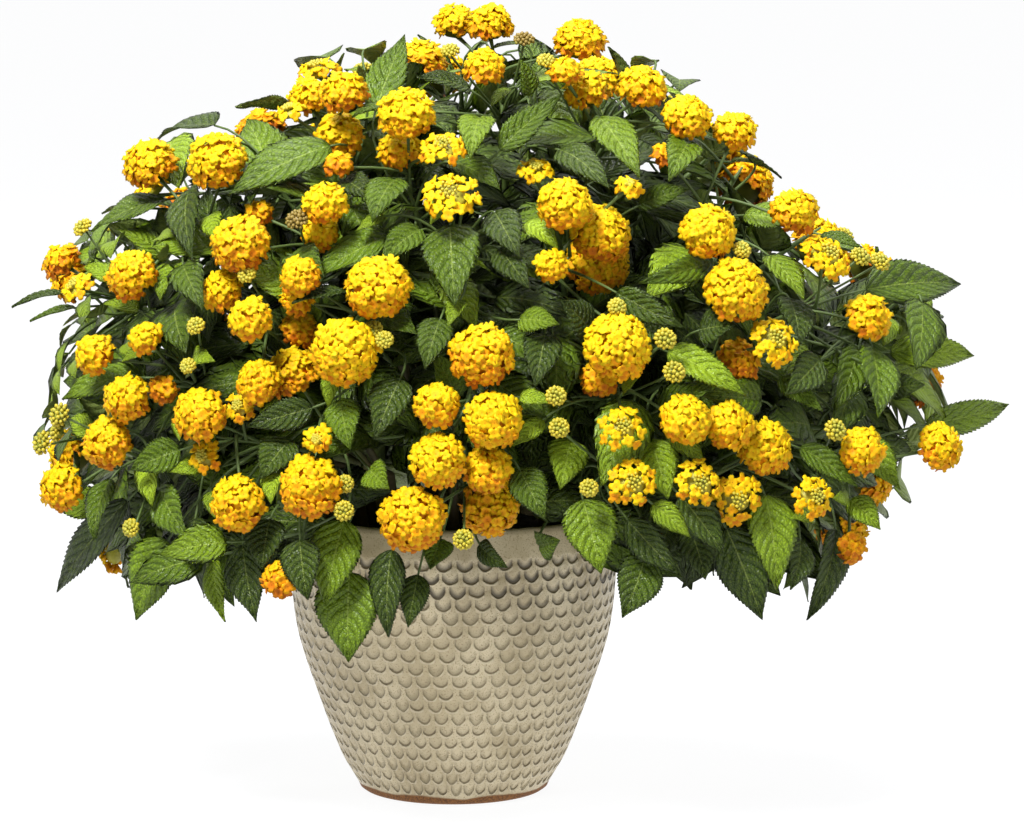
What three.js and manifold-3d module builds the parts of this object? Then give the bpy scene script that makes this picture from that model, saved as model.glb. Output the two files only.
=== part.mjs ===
// A bedding lantana in bloom, standing in the soil of its glazed stoneware pot.
// Frame: origin at the centre of the pot's foot, on the ground, +Z up, the plant's front towards -Y.
// Lengths are millimetres and angles are radians.
import * as THREE from 'three';
import { mergeVertices } from 'three/addons/utils/BufferGeometryUtils.js';
import Module from 'manifold-3d';

const wasm = await Module();
wasm.setup();

// ---- Driving dimensions ------------------------------------------------------------------------

const GAP = 0.3; // between two pieces that touch
const UP = new THREE.Vector3(0, 0, 1);

const POT = {
  height: 212,
  rimRadius: 119.5,
  // Radius and height of the outer wall, from the foot up to the rim.
  wall: [
    [70.5, 0], [72.5, 5], [85.5, 28], [106, 83], [117.5, 121], [122.5, 165], [121.5, 194], [119.5, 208],
  ],
  thickness: 9,
  floor: 14,
  segments: 28,
  footWear: 2, // the foot's rounded edge
  lipRound: 4, // how far below the rim its outer edge starts to turn in
  dimpleRows: 12,
  dimplesFrom: 8,
  dimplesTo: 190,
  dimpleDepth: 1.8,
};
const SOIL = { top: 193, crown: 4, edgeDrop: 3, holeDepth: 45, holeAbove: 6 };

// The foliage fills a dome, which the flower heads stand on.
const DOME = {
  centre: new THREE.Vector3(35, 0, 278),
  axes: new THREE.Vector3(365, 270, 303),
};

// The front drawing, in perspective: where its eye stands, what it looks at, its middle and the
// distance of its sheet, both in the sheet's own units.
const EYE = new THREE.Vector3(44, -2700, 600);
const AIM = new THREE.Vector3(44, 0, 283);
const SHEET = { across: 512, down: 414, focus: 3625 };

// How far the plant reaches on the sheet, every 10 degrees anticlockwise from the right.
const OUTLINE = {
  across: 500,
  down: 360,
  reaches: [
    440, 440, 372, 332, 336, 326, 325, 332, 328, 345, 348, 332, 345, 350, 368, 418, 425, 465,
    440, 468, 468, 445, 385, 325, 278, 256, 244, 240, 244, 256, 292, 310, 398, 408, 405, 470,
  ],
};

const STEM = { trunk: 4.6, fork: 3.4, tip: 2.1, stalk: 1.8, budStalk: 1.25, petiole: 2.2, sunk: 0.9 };
const LIMBS = { crown: 3, side: 9, crownRadius: 30, sideRadius: 70, crownFork: 285, sideFork: 246 };
const CROWN_LEVEL = 0.82; // a spray whose outward direction rises more than this is on a crown limb
const SPRAY = { mostHeads: 4, reach: 118, depth: 40, stub: 9, forkAt: 4, forkStep: 5, bareReach: 76 };
const SHOOT = { forkAt: 10, forkStep: 14, sections: 3 };
const HEAD_ROOM = { between: 1, rear: 16, above: 55 };
const LEAF = {
  thickness: 2.0,
  widthToLength: 0.6,
  spacing: 7, // of the places on a shoot
  petiole: 15,
  longestTwig: 90,
  offWhorl: 12, // how far a paired leaf may be from its whorl's place
  crowded: 30, // least distance between paired leaves
  bare: 44, // least distance of a filling leaf from the others
  lowest: 95,
  pastOutline: 4, // how far outside the drawn outline a tip may be seen
  clearance: 0.4,
};
const OUTERMOST = 1.07; // how far out of the dome a leaf's tip may reach
const COUNTS = {
  rearHeads: 66, rearBuds: 22, bareTries: 150, fillingTries: 700, pairedLeaves: 176, leaves: 206,
};
const GOLDEN_TURN = 2.399963;

const COLOURS = {
  glaze: 0xb9ac91,
  soil: 0x2e2218,
  leaf: 0x3c6427,
  flower: 0xf7bd12,
};

// ---- Where the flowers, buds and leaves are on the front drawing ----------------------------------

// Each head: across, down, width, and its depth where it isn't on the dome (1).
const BALLS = [
  [490, 25, 46], [455, 24, 44], [484, 68, 42], [580, 42, 52], [565, 72, 34], [587, 92, 48], [642, 88, 50],
  [687, 118, 50], [735, 132, 44], [310, 98, 46, 0.93], [345, 93, 48], [340, 135, 50, 0.95], [406, 115, 58],
  [400, 152, 48], [565, 205, 56], [600, 234, 62, 0.94], [597, 260, 70], [552, 266, 34, 0.98], [708, 232, 58],
  [736, 290, 65], [795, 212, 50], [868, 317, 48, 0.98], [617, 347, 68], [378, 287, 66], [300, 276, 42],
  [297, 298, 36, 0.95], [325, 204, 46], [320, 232, 38, 0.96], [240, 244, 60], [217, 162, 62], [150, 165, 55],
  [132, 275, 52], [222, 290, 44], [250, 319, 44], [145, 338, 34], [95, 355, 42], [127, 398, 48],
  [107, 443, 52], [62, 488, 48], [200, 415, 54], [258, 382, 46, 0.96], [294, 374, 58], [345, 352, 68],
  [482, 355, 64], [437, 405, 46], [438, 460, 56], [494, 420, 58], [488, 470, 50, 0.95], [490, 506, 62],
  [412, 519, 66], [310, 487, 62], [238, 503, 56], [686, 420, 52], [730, 426, 48], [765, 447, 56],
  [862, 450, 48], [940, 447, 48],
];
const FLAT_HEADS = [
  [318, 72, 44], [290, 113, 34, 0.95], [443, 150, 48], [450, 198, 60], [535, 172, 40, 0.86],
  [628, 187, 28], [825, 258, 54], [773, 342, 52], [78, 288, 38], [240, 407, 34], [205, 457, 36],
  [622, 428, 46], [632, 483, 50], [698, 484, 50], [736, 498, 52], [812, 497, 46], [318, 440, 28],
];
const OLD_HEADS = [
  [338, 165, 30, 0.95], [258, 213, 30, 0.92], [62, 262, 40], [163, 390, 30, 0.95], [300, 330, 40, 0.9],
  [600, 378, 40, 0.88], [738, 362, 46, 0.9], [280, 580, 38], [852, 548, 32, 0.96], [665, 155, 28, 0.95],
];
const BUDS = [
  [83, 228, 20], [102, 341, 20], [196, 326, 18], [188, 366, 16], [60, 415, 24], [43, 443, 24], [243, 272, 18],
  [297, 220, 22], [400, 302, 22], [369, 327, 20], [384, 340, 18], [450, 51, 18], [524, 40, 20],
  [546, 61, 18], [604, 54, 18], [722, 249, 18], [742, 250, 18], [617, 307, 18], [665, 339, 22], [674, 372, 22],
  [556, 396, 20], [559, 428, 20], [589, 488, 18], [464, 537, 20], [340, 487, 18], [344, 511, 20],
  [131, 528, 18], [835, 430, 22], [860, 257, 20], [880, 262, 20],
];
// Each leaf: where its blade begins and ends (across, down), its width, and its roll to the right.
const FRONT_LEAVES = [
  [375, 112, 405, 35, 42, 0.3], [290, 105, 236, 108, 18, 0.9], [330, 146, 228, 196, 60, -0.2],
  [392, 108, 352, 118, 24, 0], [450, 226, 455, 307, 60, 0], [495, 213, 520, 258, 42, 0.2],
  [345, 292, 292, 304, 30, 0.5], [712, 262, 637, 284, 30, -0.5], [617, 293, 685, 328, 32, 0.7],
  [865, 290, 960, 285, 50, 0.1], [890, 352, 973, 356, 38, 0.2], [925, 425, 1008, 404, 34, 0.2],
  [872, 348, 878, 418, 54, 0], [822, 235, 862, 250, 24, 0.3], [745, 215, 806, 228, 44, 0.2],
  [780, 378, 823, 412, 26, 0.4], [668, 352, 745, 396, 38, 0], [800, 448, 858, 488, 32, 0],
  [765, 495, 776, 590, 54, 0.1], [726, 528, 762, 620, 58, 0.1], [835, 530, 806, 620, 44, 0],
  [645, 556, 622, 618, 50, 0], [628, 520, 680, 575, 38, 0.4], [583, 500, 601, 574, 56, 0],
  [480, 545, 508, 568, 26, 0.3], [545, 335, 535, 388, 40, 0], [345, 520, 326, 606, 56, 0.1],
  [350, 572, 349, 662, 66, 0], [392, 550, 389, 637, 42, 0.3], [418, 575, 408, 628, 32, 0],
  [312, 408, 245, 427, 34, -0.3], [168, 540, 137, 620, 60, 0], [128, 500, 58, 592, 36, -0.3],
  [214, 560, 226, 622, 34, 0.2], [243, 545, 257, 622, 46, 0], [62, 293, 12, 308, 24, -0.3],
  [75, 308, 30, 322, 22, -0.2], [190, 190, 194, 262, 42, 0.1], [165, 200, 92, 232, 50, -0.1],
  [500, 150, 562, 95, 34, 0.3], [470, 90, 416, 78, 34, -0.3], [530, 95, 520, 60, 30, 0],
  [600, 118, 640, 178, 44, 0.2],
  [560, 150, 610, 190, 40, 0.2], [690, 140, 668, 182, 40, 0], [640, 205, 690, 190, 34, 0.3],
  [755, 165, 722, 150, 30, 0], [480, 118, 470, 160, 40, 0], [395, 180, 372, 222, 46, 0],
  [345, 180, 372, 200, 34, 0], [420, 230, 380, 262, 38, -0.2], [500, 250, 530, 290, 36, 0.2],
  [270, 160, 250, 205, 40, 0], [120, 215, 92, 262, 40, 0], [180, 260, 160, 300, 40, 0],
  [660, 300, 640, 350, 40, 0], [790, 300, 800, 345, 44, 0], [700, 330, 735, 325, 40, 0.2],
  [820, 360, 785, 395, 40, 0], [860, 440, 900, 490, 40, 0.2], [890, 390, 925, 385, 30, 0.2],
  [760, 400, 700, 395, 40, -0.2], [590, 330, 560, 300, 40, 0], [520, 320, 560, 325, 34, 0],
  [440, 320, 425, 370, 40, 0], [400, 380, 375, 440, 44, 0], [340, 400, 350, 450, 40, 0],
  [290, 440, 260, 480, 44, 0], [180, 450, 130, 470, 38, -0.2], [160, 490, 190, 540, 44, 0],
  [110, 480, 95, 540, 44, 0], [570, 440, 560, 490, 44, 0], [520, 470, 545, 520, 40, 0],
  [650, 440, 668, 500, 44, 0], [600, 540, 590, 560, 30, 0], [670, 520, 655, 560, 40, 0],
  [800, 540, 790, 590, 40, 0], [690, 530, 705, 580, 42, 0], [850, 500, 880, 530, 34, 0.1],
  [370, 470, 390, 490, 34, 0], [440, 540, 430, 570, 34, 0], [270, 520, 262, 570, 46, 0],
  [300, 540, 308, 600, 44, 0], [195, 520, 198, 570, 40, 0], [540, 545, 560, 540, 34, 0],
];

// ---- Small tools ----------------------------------------------------------------------------------

function seeded(seed) {
  let state = seed >>> 0;
  return () => {
    state = (state + 0x6d2b79f5) >>> 0;
    let mixed = state;
    mixed = Math.imul(mixed ^ (mixed >>> 15), mixed | 1);
    mixed ^= mixed + Math.imul(mixed ^ (mixed >>> 7), mixed | 61);
    return ((mixed ^ (mixed >>> 14)) >>> 0) / 4294967296;
  };
}

const between = (draw, low, high) => low + (high - low) * draw();
const along = (from, direction, distance) => from.clone().addScaledVector(direction, distance);
const towards = (from, to) => to.clone().sub(from).normalize();
const across = (vector, axis) => along(vector, axis, -vector.dot(axis)).normalize();

function solidOf(points, faces) {
  const vertProperties = new Float32Array(points.flatMap((point) => [point.x, point.y, point.z]));
  const triVerts = new Uint32Array(faces.flat());
  return new wasm.Manifold(new wasm.Mesh({ numProp: 3, vertProperties, triVerts }));
}

function solidOfGeometry(geometry) {
  const bare = geometry.clone();
  bare.deleteAttribute('normal');
  bare.deleteAttribute('uv');
  const merged = mergeVertices(bare, 1e-4);
  const place = merged.getAttribute('position');
  const points = [];
  for (let i = 0; i < place.count; i += 1) points.push(new THREE.Vector3().fromBufferAttribute(place, i));
  const faces = [];
  for (let i = 0; i < merged.index.count; i += 3) {
    const [a, b, c] = [0, 1, 2].map((k) => merged.index.getX(i + k));
    if (a !== b && b !== c && c !== a) faces.push([a, b, c]);
  }
  return solidOf(points, faces);
}

function fuse(solids) {
  let layer = solids;
  while (layer.length > 1) {
    const next = [];
    for (let i = 0; i < layer.length; i += 2) {
      next.push(i + 1 < layer.length ? layer[i].add(layer[i + 1]) : layer[i]);
    }
    layer = next;
  }
  return layer[0];
}

function meshOf(name, solid, colour, roughness) {
  const shape = solid.getMesh();
  const geometry = new THREE.BufferGeometry();
  geometry.setAttribute('position', new THREE.BufferAttribute(new Float32Array(shape.vertProperties), 3));
  geometry.setIndex(new THREE.BufferAttribute(new Uint32Array(shape.triVerts), 1));
  geometry.computeVertexNormals();
  const material = new THREE.MeshStandardMaterial({ color: colour, roughness, metalness: 0 });
  const mesh = new THREE.Mesh(geometry, material);
  mesh.name = name;
  return mesh;
}

// ---- Shapes ---------------------------------------------------------------------------------------

// A stem through the points, with a few flat sides and a radius at each point.
function rod(points, radii, sides = 3, extra = 0) {
  let first = Math.abs(towards(points[0], points[1]).z) < 0.8 ? UP : new THREE.Vector3(1, 0, 0);
  const corners = [];
  points.forEach((point, i) => {
    const before = points[Math.max(i - 1, 0)];
    const after = points[Math.min(i + 1, points.length - 1)];
    const ahead = towards(before, after);
    first = across(first, ahead);
    const second = new THREE.Vector3().crossVectors(ahead, first);
    for (let k = 0; k < sides; k += 1) {
      const turn = (2 * Math.PI * k) / sides;
      const offset = first.clone().multiplyScalar(Math.cos(turn)).addScaledVector(second, Math.sin(turn));
      corners.push(along(point, offset, radii[i] + extra));
    }
  });
  const faces = [];
  for (let i = 0; i + 1 < points.length; i += 1) {
    for (let k = 0; k < sides; k += 1) {
      const a = i * sides + k;
      const b = i * sides + ((k + 1) % sides);
      faces.push([a, b, b + sides], [a, b + sides, a + sides]);
    }
  }
  const last = (points.length - 1) * sides;
  for (let k = 1; k + 1 < sides; k += 1) faces.push([0, k + 1, k], [last, last + k, last + k + 1]);
  return solidOf(corners, faces);
}

const underside = (head) => along(head.centre, head.axis, -0.85 * head.bottom);

// Three points round a place, square to a direction, for the sides of a stalk.
function stalkRing(point, ahead, first, radius) {
  const second = new THREE.Vector3().crossVectors(ahead, first);
  return [0, 1, 2].map((k) => {
    const turn = (2 * Math.PI * k) / 3;
    return along(point, first, radius * Math.cos(turn)).addScaledVector(second, radius * Math.sin(turn));
  });
}

// A flower head or bud on its stalk. Florets stand out of a core as raised points on a staggered
// net. The stalk goes from under the head through the places of its path, with a radius at each,
// and where it branches off another stem it ends in a point there, which has no radius.
function headSolid(head, path, radii, extra = 0) {
  const side = across(Math.abs(head.axis.z) < 0.9 ? UP : new THREE.Vector3(1, 0, 0), head.axis);
  const other = new THREE.Vector3().crossVectors(head.axis, side);
  const { sectors, rings } = head;
  const grown = 1 + (1.3 * extra) / head.radius;
  const place = (tilt, turn, reach) => {
    const height = Math.cos(tilt) * (tilt < Math.PI / 2 ? head.top : head.bottom) * reach;
    const width = Math.sin(tilt) * head.radius * reach;
    return along(head.centre, head.axis, height)
      .addScaledVector(side, width * Math.cos(turn))
      .addScaledVector(other, width * Math.sin(turn));
  };
  const points = [place(0, 0, grown)];
  for (let j = 0; j < rings; j += 1) {
    for (let i = 0; i < sectors; i += 1) {
      const reach = (i + j) % 2 === 0 ? grown : grown * head.sunk;
      points.push(place(((j + 1) * Math.PI) / (rings + 1), (2 * Math.PI * i) / sectors, reach));
    }
  }
  const at = (i, j) => 1 + j * sectors + (i % sectors);
  const faces = [];
  for (let i = 0; i < sectors; i += 1) {
    faces.push([0, at(i, 0), at(i + 1, 0)]);
    for (let j = 0; j + 1 < rings; j += 1) {
      const [a, b, c, d] = [at(i, j), at(i, j + 1), at(i + 1, j + 1), at(i + 1, j)];
      if ((i + j) % 2 === 0) faces.push([a, b, d], [b, c, d]);
      else faces.push([a, b, c], [a, c, d]);
    }
  }
  const stalk = [underside(head), ...path];
  const first = points.length;
  const lowest = Array.from({ length: sectors + 1 }, (_, i) => ({ t: i / sectors, id: at(i, rings - 1) }));
  const highest = Array.from({ length: 4 }, (_, k) => ({ t: k / 3, id: first + (k % 3) }));
  faces.push(...stitch(lowest, highest, false));
  const branches = radii.length < stalk.length;
  let beside = side;
  radii.forEach((radius, k) => {
    const ahead = k === 0 ? head.axis : towards(stalk[k], stalk[k - 1]);
    beside = across(beside, ahead);
    points.push(...stalkRing(stalk[k], ahead, beside, radius + extra));
  });
  if (branches) points.push(along(stalk[1], towards(stalk[0], stalk[1]), 0.4 * STEM.sunk));
  for (let k = 0; k < radii.length; k += 1) {
    const low = first + 3 * (k + 1);
    for (let i = 0; i < 3; i += 1) {
      const [a, b] = [first + 3 * k + i, first + 3 * k + ((i + 1) % 3)];
      if (k + 1 < radii.length) faces.push([a, a + 3, b + 3], [a, b + 3, b]);
      else if (branches) faces.push([a, low, b]);
    }
    if (k + 1 === radii.length && !branches) faces.push([low - 3, low - 1, low - 2]);
  }
  return solidOf(points, faces);
}

// Half a blade's width along it, as a share of half its widest: egg-shaped with a drawn-out tip.
function bladeWidth(t) {
  return 1.04 * Math.sin(Math.PI * t ** 0.66) ** 0.85 * (1 - 0.35 * t ** 3);
}

// The way up from a blade's upper face, which turns as the blade droops.
function bladeLift(leaf, t) {
  const turn = leaf.droop * t;
  return leaf.ahead.clone().multiplyScalar(Math.sin(turn)).addScaledVector(leaf.up, Math.cos(turn));
}

// A point of a blade: t runs from its base to its tip, s from its left edge (-1) to its right (1).
function bladePoint(leaf, t, s, widen = 1) {
  const turn = leaf.droop * t;
  const ahead = (leaf.length * Math.sin(turn)) / leaf.droop;
  const fall = (leaf.length * (1 - Math.cos(turn))) / leaf.droop;
  const half = 0.5 * leaf.width * bladeWidth(t) * widen * s;
  return along(leaf.base, leaf.ahead, ahead)
    .addScaledVector(leaf.up, -fall)
    .addScaledVector(leaf.side, half)
    .addScaledVector(bladeLift(leaf, t), Math.abs(half) * leaf.fold);
}

// Each tooth and notch of a blade's edge: where it is along the blade, and how wide there.
const EDGES = {
  fine: [[0.08, 0.95], [0.32, 1.06], [0.39, 0.88], [0.62, 1.12], [0.7, 0.86]],
  plain: [[0.1, 0.95], [0.42, 1.08], [0.54, 0.84]],
};
const RIBS = { fine: [0, 0.34, 0.66], plain: [0, 0.46] };

// Joins two chains of points, each with its places along the blade, by triangles.
function stitch(left, right, flip) {
  const faces = [];
  let i = 0;
  let j = 0;
  while (i + 1 < left.length || j + 1 < right.length) {
    const takeLeft = j + 1 >= right.length || (i + 1 < left.length && left[i + 1].t < right[j + 1].t);
    const third = takeLeft ? left[i + 1].id : right[j + 1].id;
    if (left[i].id !== third && right[j].id !== third && left[i].id !== right[j].id) {
      faces.push(flip ? [left[i].id, third, right[j].id] : [left[i].id, right[j].id, third]);
    }
    if (takeLeft) i += 1;
    else j += 1;
  }
  return faces;
}

// A leaf: its petiole, drawn out to a point in the stem, then a toothed blade, thick at its rib and
// thin at its edge.
function leafSolid(leaf, { petiole = true, extra = 0 } = {}) {
  const thick = LEAF.thickness / 2 + extra;
  const neck = STEM.petiole + extra;
  const points = [];
  const add = (point) => points.push(point) - 1;
  const tip = add(along(bladePoint(leaf, 1, 0), leaf.ahead, extra));
  const sides = [-1, 1].map((sign) => {
    const chain = [{ t: 0, id: add(along(leaf.base, leaf.side, sign * neck)) }];
    for (const [t, widen] of EDGES[leaf.detail]) {
      const point = along(bladePoint(leaf, t, sign, widen), leaf.side, sign * extra);
      chain.push({ t, id: add(point) });
    }
    chain.push({ t: 1, id: tip });
    return chain;
  });
  const faces = [];
  const ribs = [];
  for (const face of [1, -1]) {
    const rib = RIBS[leaf.detail].map((t) => {
      return { t, id: add(along(bladePoint(leaf, t, 0), bladeLift(leaf, t), face * thick)) };
    });
    rib.push({ t: 1, id: tip });
    const [left, right] = sides;
    faces.push(...stitch(rib, left, face > 0), ...stitch(rib, right, face < 0));
    ribs.push(rib[0].id);
  }
  const [left, right] = sides.map((chain) => chain[0].id);
  const [top, bottom] = ribs;
  faces.push([top, left, right]);
  if (!petiole) {
    faces.push([bottom, right, left]);
    return solidOf(points, faces);
  }
  const root = add(along(leaf.root, towards(leaf.base, leaf.root), STEM.sunk));
  faces.push([left, root, right], [right, root, bottom], [bottom, root, left]);
  return solidOf(points, faces);
}

// ---- The pot and its soil -------------------------------------------------------------------------

function wallRadius(height) {
  const points = POT.wall;
  const last = points.length - 1;
  let k = 0;
  while (k < last - 1 && points[k + 1][1] < height) k += 1;
  const [lowRadius, low] = points[k];
  const [highRadius, high] = points[k + 1];
  const t = Math.min(Math.max((height - low) / (high - low), 0), 1);
  const slope = (m) => {
    const [r0, z0] = points[Math.max(m - 1, 0)];
    const [r1, z1] = points[Math.min(m + 1, last)];
    return ((r1 - r0) / (z1 - z0)) * (high - low);
  };
  const cube = t ** 3;
  const square = t ** 2;
  return lowRadius * (2 * cube - 3 * square + 1) + highRadius * (3 * square - 2 * cube)
    + slope(k) * (cube - 2 * square + t) + slope(k + 1) * (cube - square);
}

const innerRadius = (height) => wallRadius(height) - POT.thickness;
const INNER_HEIGHTS = [POT.floor, 60, 120, 180];

function makePot() {
  const { height: top, footWear, lipRound, dimpleRows, dimplesFrom, dimplesTo } = POT;
  const wall = [];
  for (let row = 0; row <= dimpleRows; row += 1) {
    const height = dimplesFrom + ((dimplesTo - dimplesFrom) * row) / dimpleRows;
    wall.push(new THREE.Vector2(wallRadius(height), height));
  }
  const profile = [
    new THREE.Vector2(0, 0),
    new THREE.Vector2(wallRadius(0) - footWear, 0),
    new THREE.Vector2(wallRadius(footWear), footWear),
    ...wall,
    new THREE.Vector2(POT.rimRadius, top - lipRound),
    new THREE.Vector2(POT.rimRadius - 0.75 * lipRound, top),
    new THREE.Vector2(innerRadius(top) + 0.5 * lipRound, top),
    ...INNER_HEIGHTS.toReversed().map((height) => new THREE.Vector2(innerRadius(height), height)),
    new THREE.Vector2(0, POT.floor),
  ];
  const geometry = new THREE.LatheGeometry(profile, POT.segments);
  const place = geometry.getAttribute('position');
  for (let i = 0; i < place.count; i += 1) {
    const segment = Math.floor(i / profile.length);
    const row = (i % profile.length) - 3;
    const onWall = row > 0 && row < dimpleRows;
    if (!onWall || (segment + row) % 2 === 0) continue;
    const radius = Math.hypot(place.getX(i), place.getZ(i));
    const pressed = (radius - POT.dimpleDepth) / radius;
    place.setXYZ(i, place.getX(i) * pressed, place.getY(i), place.getZ(i) * pressed);
  }
  geometry.rotateX(Math.PI / 2);
  return solidOfGeometry(geometry);
}

function makeSoil(stemFeet) {
  const heights = INNER_HEIGHTS.map((height) => (height === POT.floor ? height + GAP : height));
  const profile = [
    new THREE.Vector2(0, POT.floor + GAP),
    ...heights.map((height) => new THREE.Vector2(innerRadius(height) - GAP, height)),
    new THREE.Vector2(innerRadius(SOIL.top) - GAP - 1, SOIL.top - SOIL.edgeDrop),
    new THREE.Vector2(innerRadius(SOIL.top) * 0.6, SOIL.top),
    new THREE.Vector2(0, SOIL.top + SOIL.crown),
  ];
  const geometry = new THREE.LatheGeometry(profile, POT.segments);
  geometry.rotateX(Math.PI / 2);
  const holes = stemFeet.map((foot) => {
    const below = new THREE.Vector3(foot.x, foot.y, foot.z - GAP);
    const above = new THREE.Vector3(foot.x, foot.y, SOIL.top + SOIL.crown + SOIL.holeAbove);
    const radius = STEM.trunk + GAP * Math.SQRT2;
    return rod([below, above], [radius, radius], 4);
  });
  return solidOfGeometry(geometry).subtract(fuse(holes));
}

// ---- Placing on the dome --------------------------------------------------------------------------

const forward = towards(EYE, AIM);
const rightward = new THREE.Vector3().crossVectors(forward, UP).normalize();
const upward = new THREE.Vector3().crossVectors(rightward, forward);

// The point of the dome, grown by depth, that the drawing shows at a place on its sheet.
function onDome(placeAcross, placeDown, depth) {
  const sight = forward.clone().multiplyScalar(SHEET.focus)
    .addScaledVector(rightward, placeAcross - SHEET.across)
    .addScaledVector(upward, SHEET.down - placeDown)
    .normalize();
  const start = EYE.clone().sub(DOME.centre).divide(DOME.axes);
  const step = sight.clone().divide(DOME.axes);
  const a = step.dot(step);
  const b = start.dot(step);
  const c = start.dot(start) - depth ** 2;
  const inside = b ** 2 - a * c;
  const distance = (-b - Math.sqrt(Math.max(inside, 0))) / a;
  return along(EYE, sight, distance);
}

const inDome = (point) => point.clone().sub(DOME.centre).divide(DOME.axes);
const domeNormal = (point) => inDome(point).divide(DOME.axes).normalize();
const domeDepth = (point) => inDome(point).length();
const realSize = (size, point) => (size * point.distanceTo(EYE)) / SHEET.focus;

// How far outside the drawn outline a point is seen, in mm.
function pastOutline(point) {
  const seen = point.clone().sub(EYE);
  const scale = SHEET.focus / seen.dot(forward);
  const right = SHEET.across - OUTLINE.across + scale * seen.dot(rightward);
  const up = OUTLINE.down - SHEET.down + scale * seen.dot(upward);
  const turn = (Math.atan2(up, right) / (Math.PI / 18) + 36) % 36;
  const before = Math.floor(turn);
  const next = OUTLINE.reaches[(before + 1) % 36];
  const reach = THREE.MathUtils.lerp(OUTLINE.reaches[before], next, turn - before);
  return (Math.hypot(right, up) - reach) / scale;
}

// Moves a ball towards the dome's middle until it is seen inside the outline.
function pullIn(centre, radius) {
  for (let step = 0; step < 14 && pastOutline(centre) + radius > 2; step += 1) {
    centre.lerp(DOME.centre, 0.03);
  }
}

// Even steps round and down a dome, from its crown to a lowest level (-1 is its foot).
function spiralPoint(step, steps, lowest, depth) {
  const level = 1 - ((step + 0.5) / steps) * (1 - lowest);
  const turn = step * GOLDEN_TURN;
  const ring = Math.sqrt(1 - level ** 2);
  return new THREE.Vector3(ring * Math.cos(turn), ring * Math.sin(turn), level)
    .multiply(DOME.axes).multiplyScalar(depth).add(DOME.centre);
}

const SHAPES = {
  ball: { top: 0.92, bottom: 0.8, sunk: 0.82, sectors: 6, rings: 3 },
  flat: { top: 0.5, bottom: 0.5, sunk: 0.8, sectors: 8, rings: 2 },
  old: { top: 0.85, bottom: 0.7, sunk: 0.78, sectors: 6, rings: 2 },
  bud: { top: 0.7, bottom: 0.6, sunk: 0.8, sectors: 6, rings: 1 },
};

function makeHead(kind, centre, radius, rear) {
  const shape = SHAPES[kind];
  const axis = along(domeNormal(centre), UP, 0.35).normalize();
  const head = { kind, centre, radius, axis, rear, ...shape };
  head.top *= radius;
  head.bottom *= radius;
  if (kind === 'ball' && radius > 18 && !rear) head.sectors = 8;
  return head;
}

function frontHeads() {
  const tables = { ball: BALLS, flat: FLAT_HEADS, old: OLD_HEADS };
  const heads = [];
  for (const [kind, table] of Object.entries(tables)) {
    for (const [placeAcross, placeDown, width, depth = 1] of table) {
      const centre = onDome(placeAcross, placeDown, depth);
      const head = makeHead(kind, centre, realSize(width, centre) / 2, false);
      pushApart(head, heads);
      heads.push(head);
    }
  }
  return heads;
}

// Moves a head back along the line of sight until it is clear of the ones in front of it.
function pushApart(head, heads) {
  const sight = towards(EYE, head.centre);
  for (let step = 0; step < 40; step += 1) {
    const free = heads.every((other) => {
      return other.centre.distanceTo(head.centre) > other.radius + head.radius + HEAD_ROOM.between;
    });
    if (free) return;
    head.centre.addScaledVector(sight, 3);
  }
}

function rearHeads(heads) {
  const draw = seeded(11);
  const kinds = ['ball', 'ball', 'old', 'ball', 'flat', 'ball', 'ball', 'flat', 'ball', 'old'];
  for (let step = 0; step < COUNTS.rearHeads; step += 1) {
    const centre = spiralPoint(step, COUNTS.rearHeads, -0.42, between(draw, 0.95, 1.01));
    const radius = between(draw, 17, 25);
    pullIn(centre, radius);
    const kind = kinds[step % kinds.length];
    const faces = domeNormal(centre).dot(towards(centre, EYE)) > 0.02;
    const crowded = heads.some((other) => {
      return other.centre.distanceTo(centre) < other.radius + radius + HEAD_ROOM.rear;
    });
    if (!faces && !crowded) heads.push(makeHead(kind, centre, radius, true));
  }
}

// ---- Putting pieces where they are clear of the others --------------------------------------------

const placed = [];

function boxOf(solid) {
  const { min, max } = solid.boundingBox();
  return new THREE.Box3(new THREE.Vector3(...min), new THREE.Vector3(...max));
}

function keep(owner, kind, solid) {
  placed.push({ owner, kind, solid, box: boxOf(solid) });
}

// True where a solid crosses nothing that is placed, apart from what it may touch.
function isClear(solid, mayTouch) {
  const box = boxOf(solid);
  return placed.every((other) => {
    if (mayTouch(other) || !box.intersectsBox(other.box)) return true;
    return solid.intersect(other.solid).isEmpty();
  });
}

// ---- Sprays: up to four heads whose stalks meet at one shoot's tip ----------------------------------

function gatherSprays(heads) {
  const free = new Set(heads);
  const sprays = [];
  for (const first of heads) {
    if (!free.delete(first)) continue;
    const group = [first];
    while (group.length < SPRAY.mostHeads) {
      const near = [...free]
        .map((head) => ({ head, far: Math.max(...group.map((one) => one.centre.distanceTo(head.centre))) }))
        .filter(({ far }) => far < SPRAY.reach)
        .sort((a, b) => a.far - b.far)[0];
      if (!near) break;
      free.delete(near.head);
      group.push(near.head);
    }
    sprays.push({ heads: group });
  }
  return sprays;
}

function hubOf(spray, depth) {
  const middle = new THREE.Vector3();
  const outward = new THREE.Vector3();
  for (const head of spray.heads) {
    middle.addScaledVector(head.centre, 1 / spray.heads.length);
    outward.add(domeNormal(head.centre));
  }
  return along(middle, outward.normalize(), -depth);
}

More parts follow.
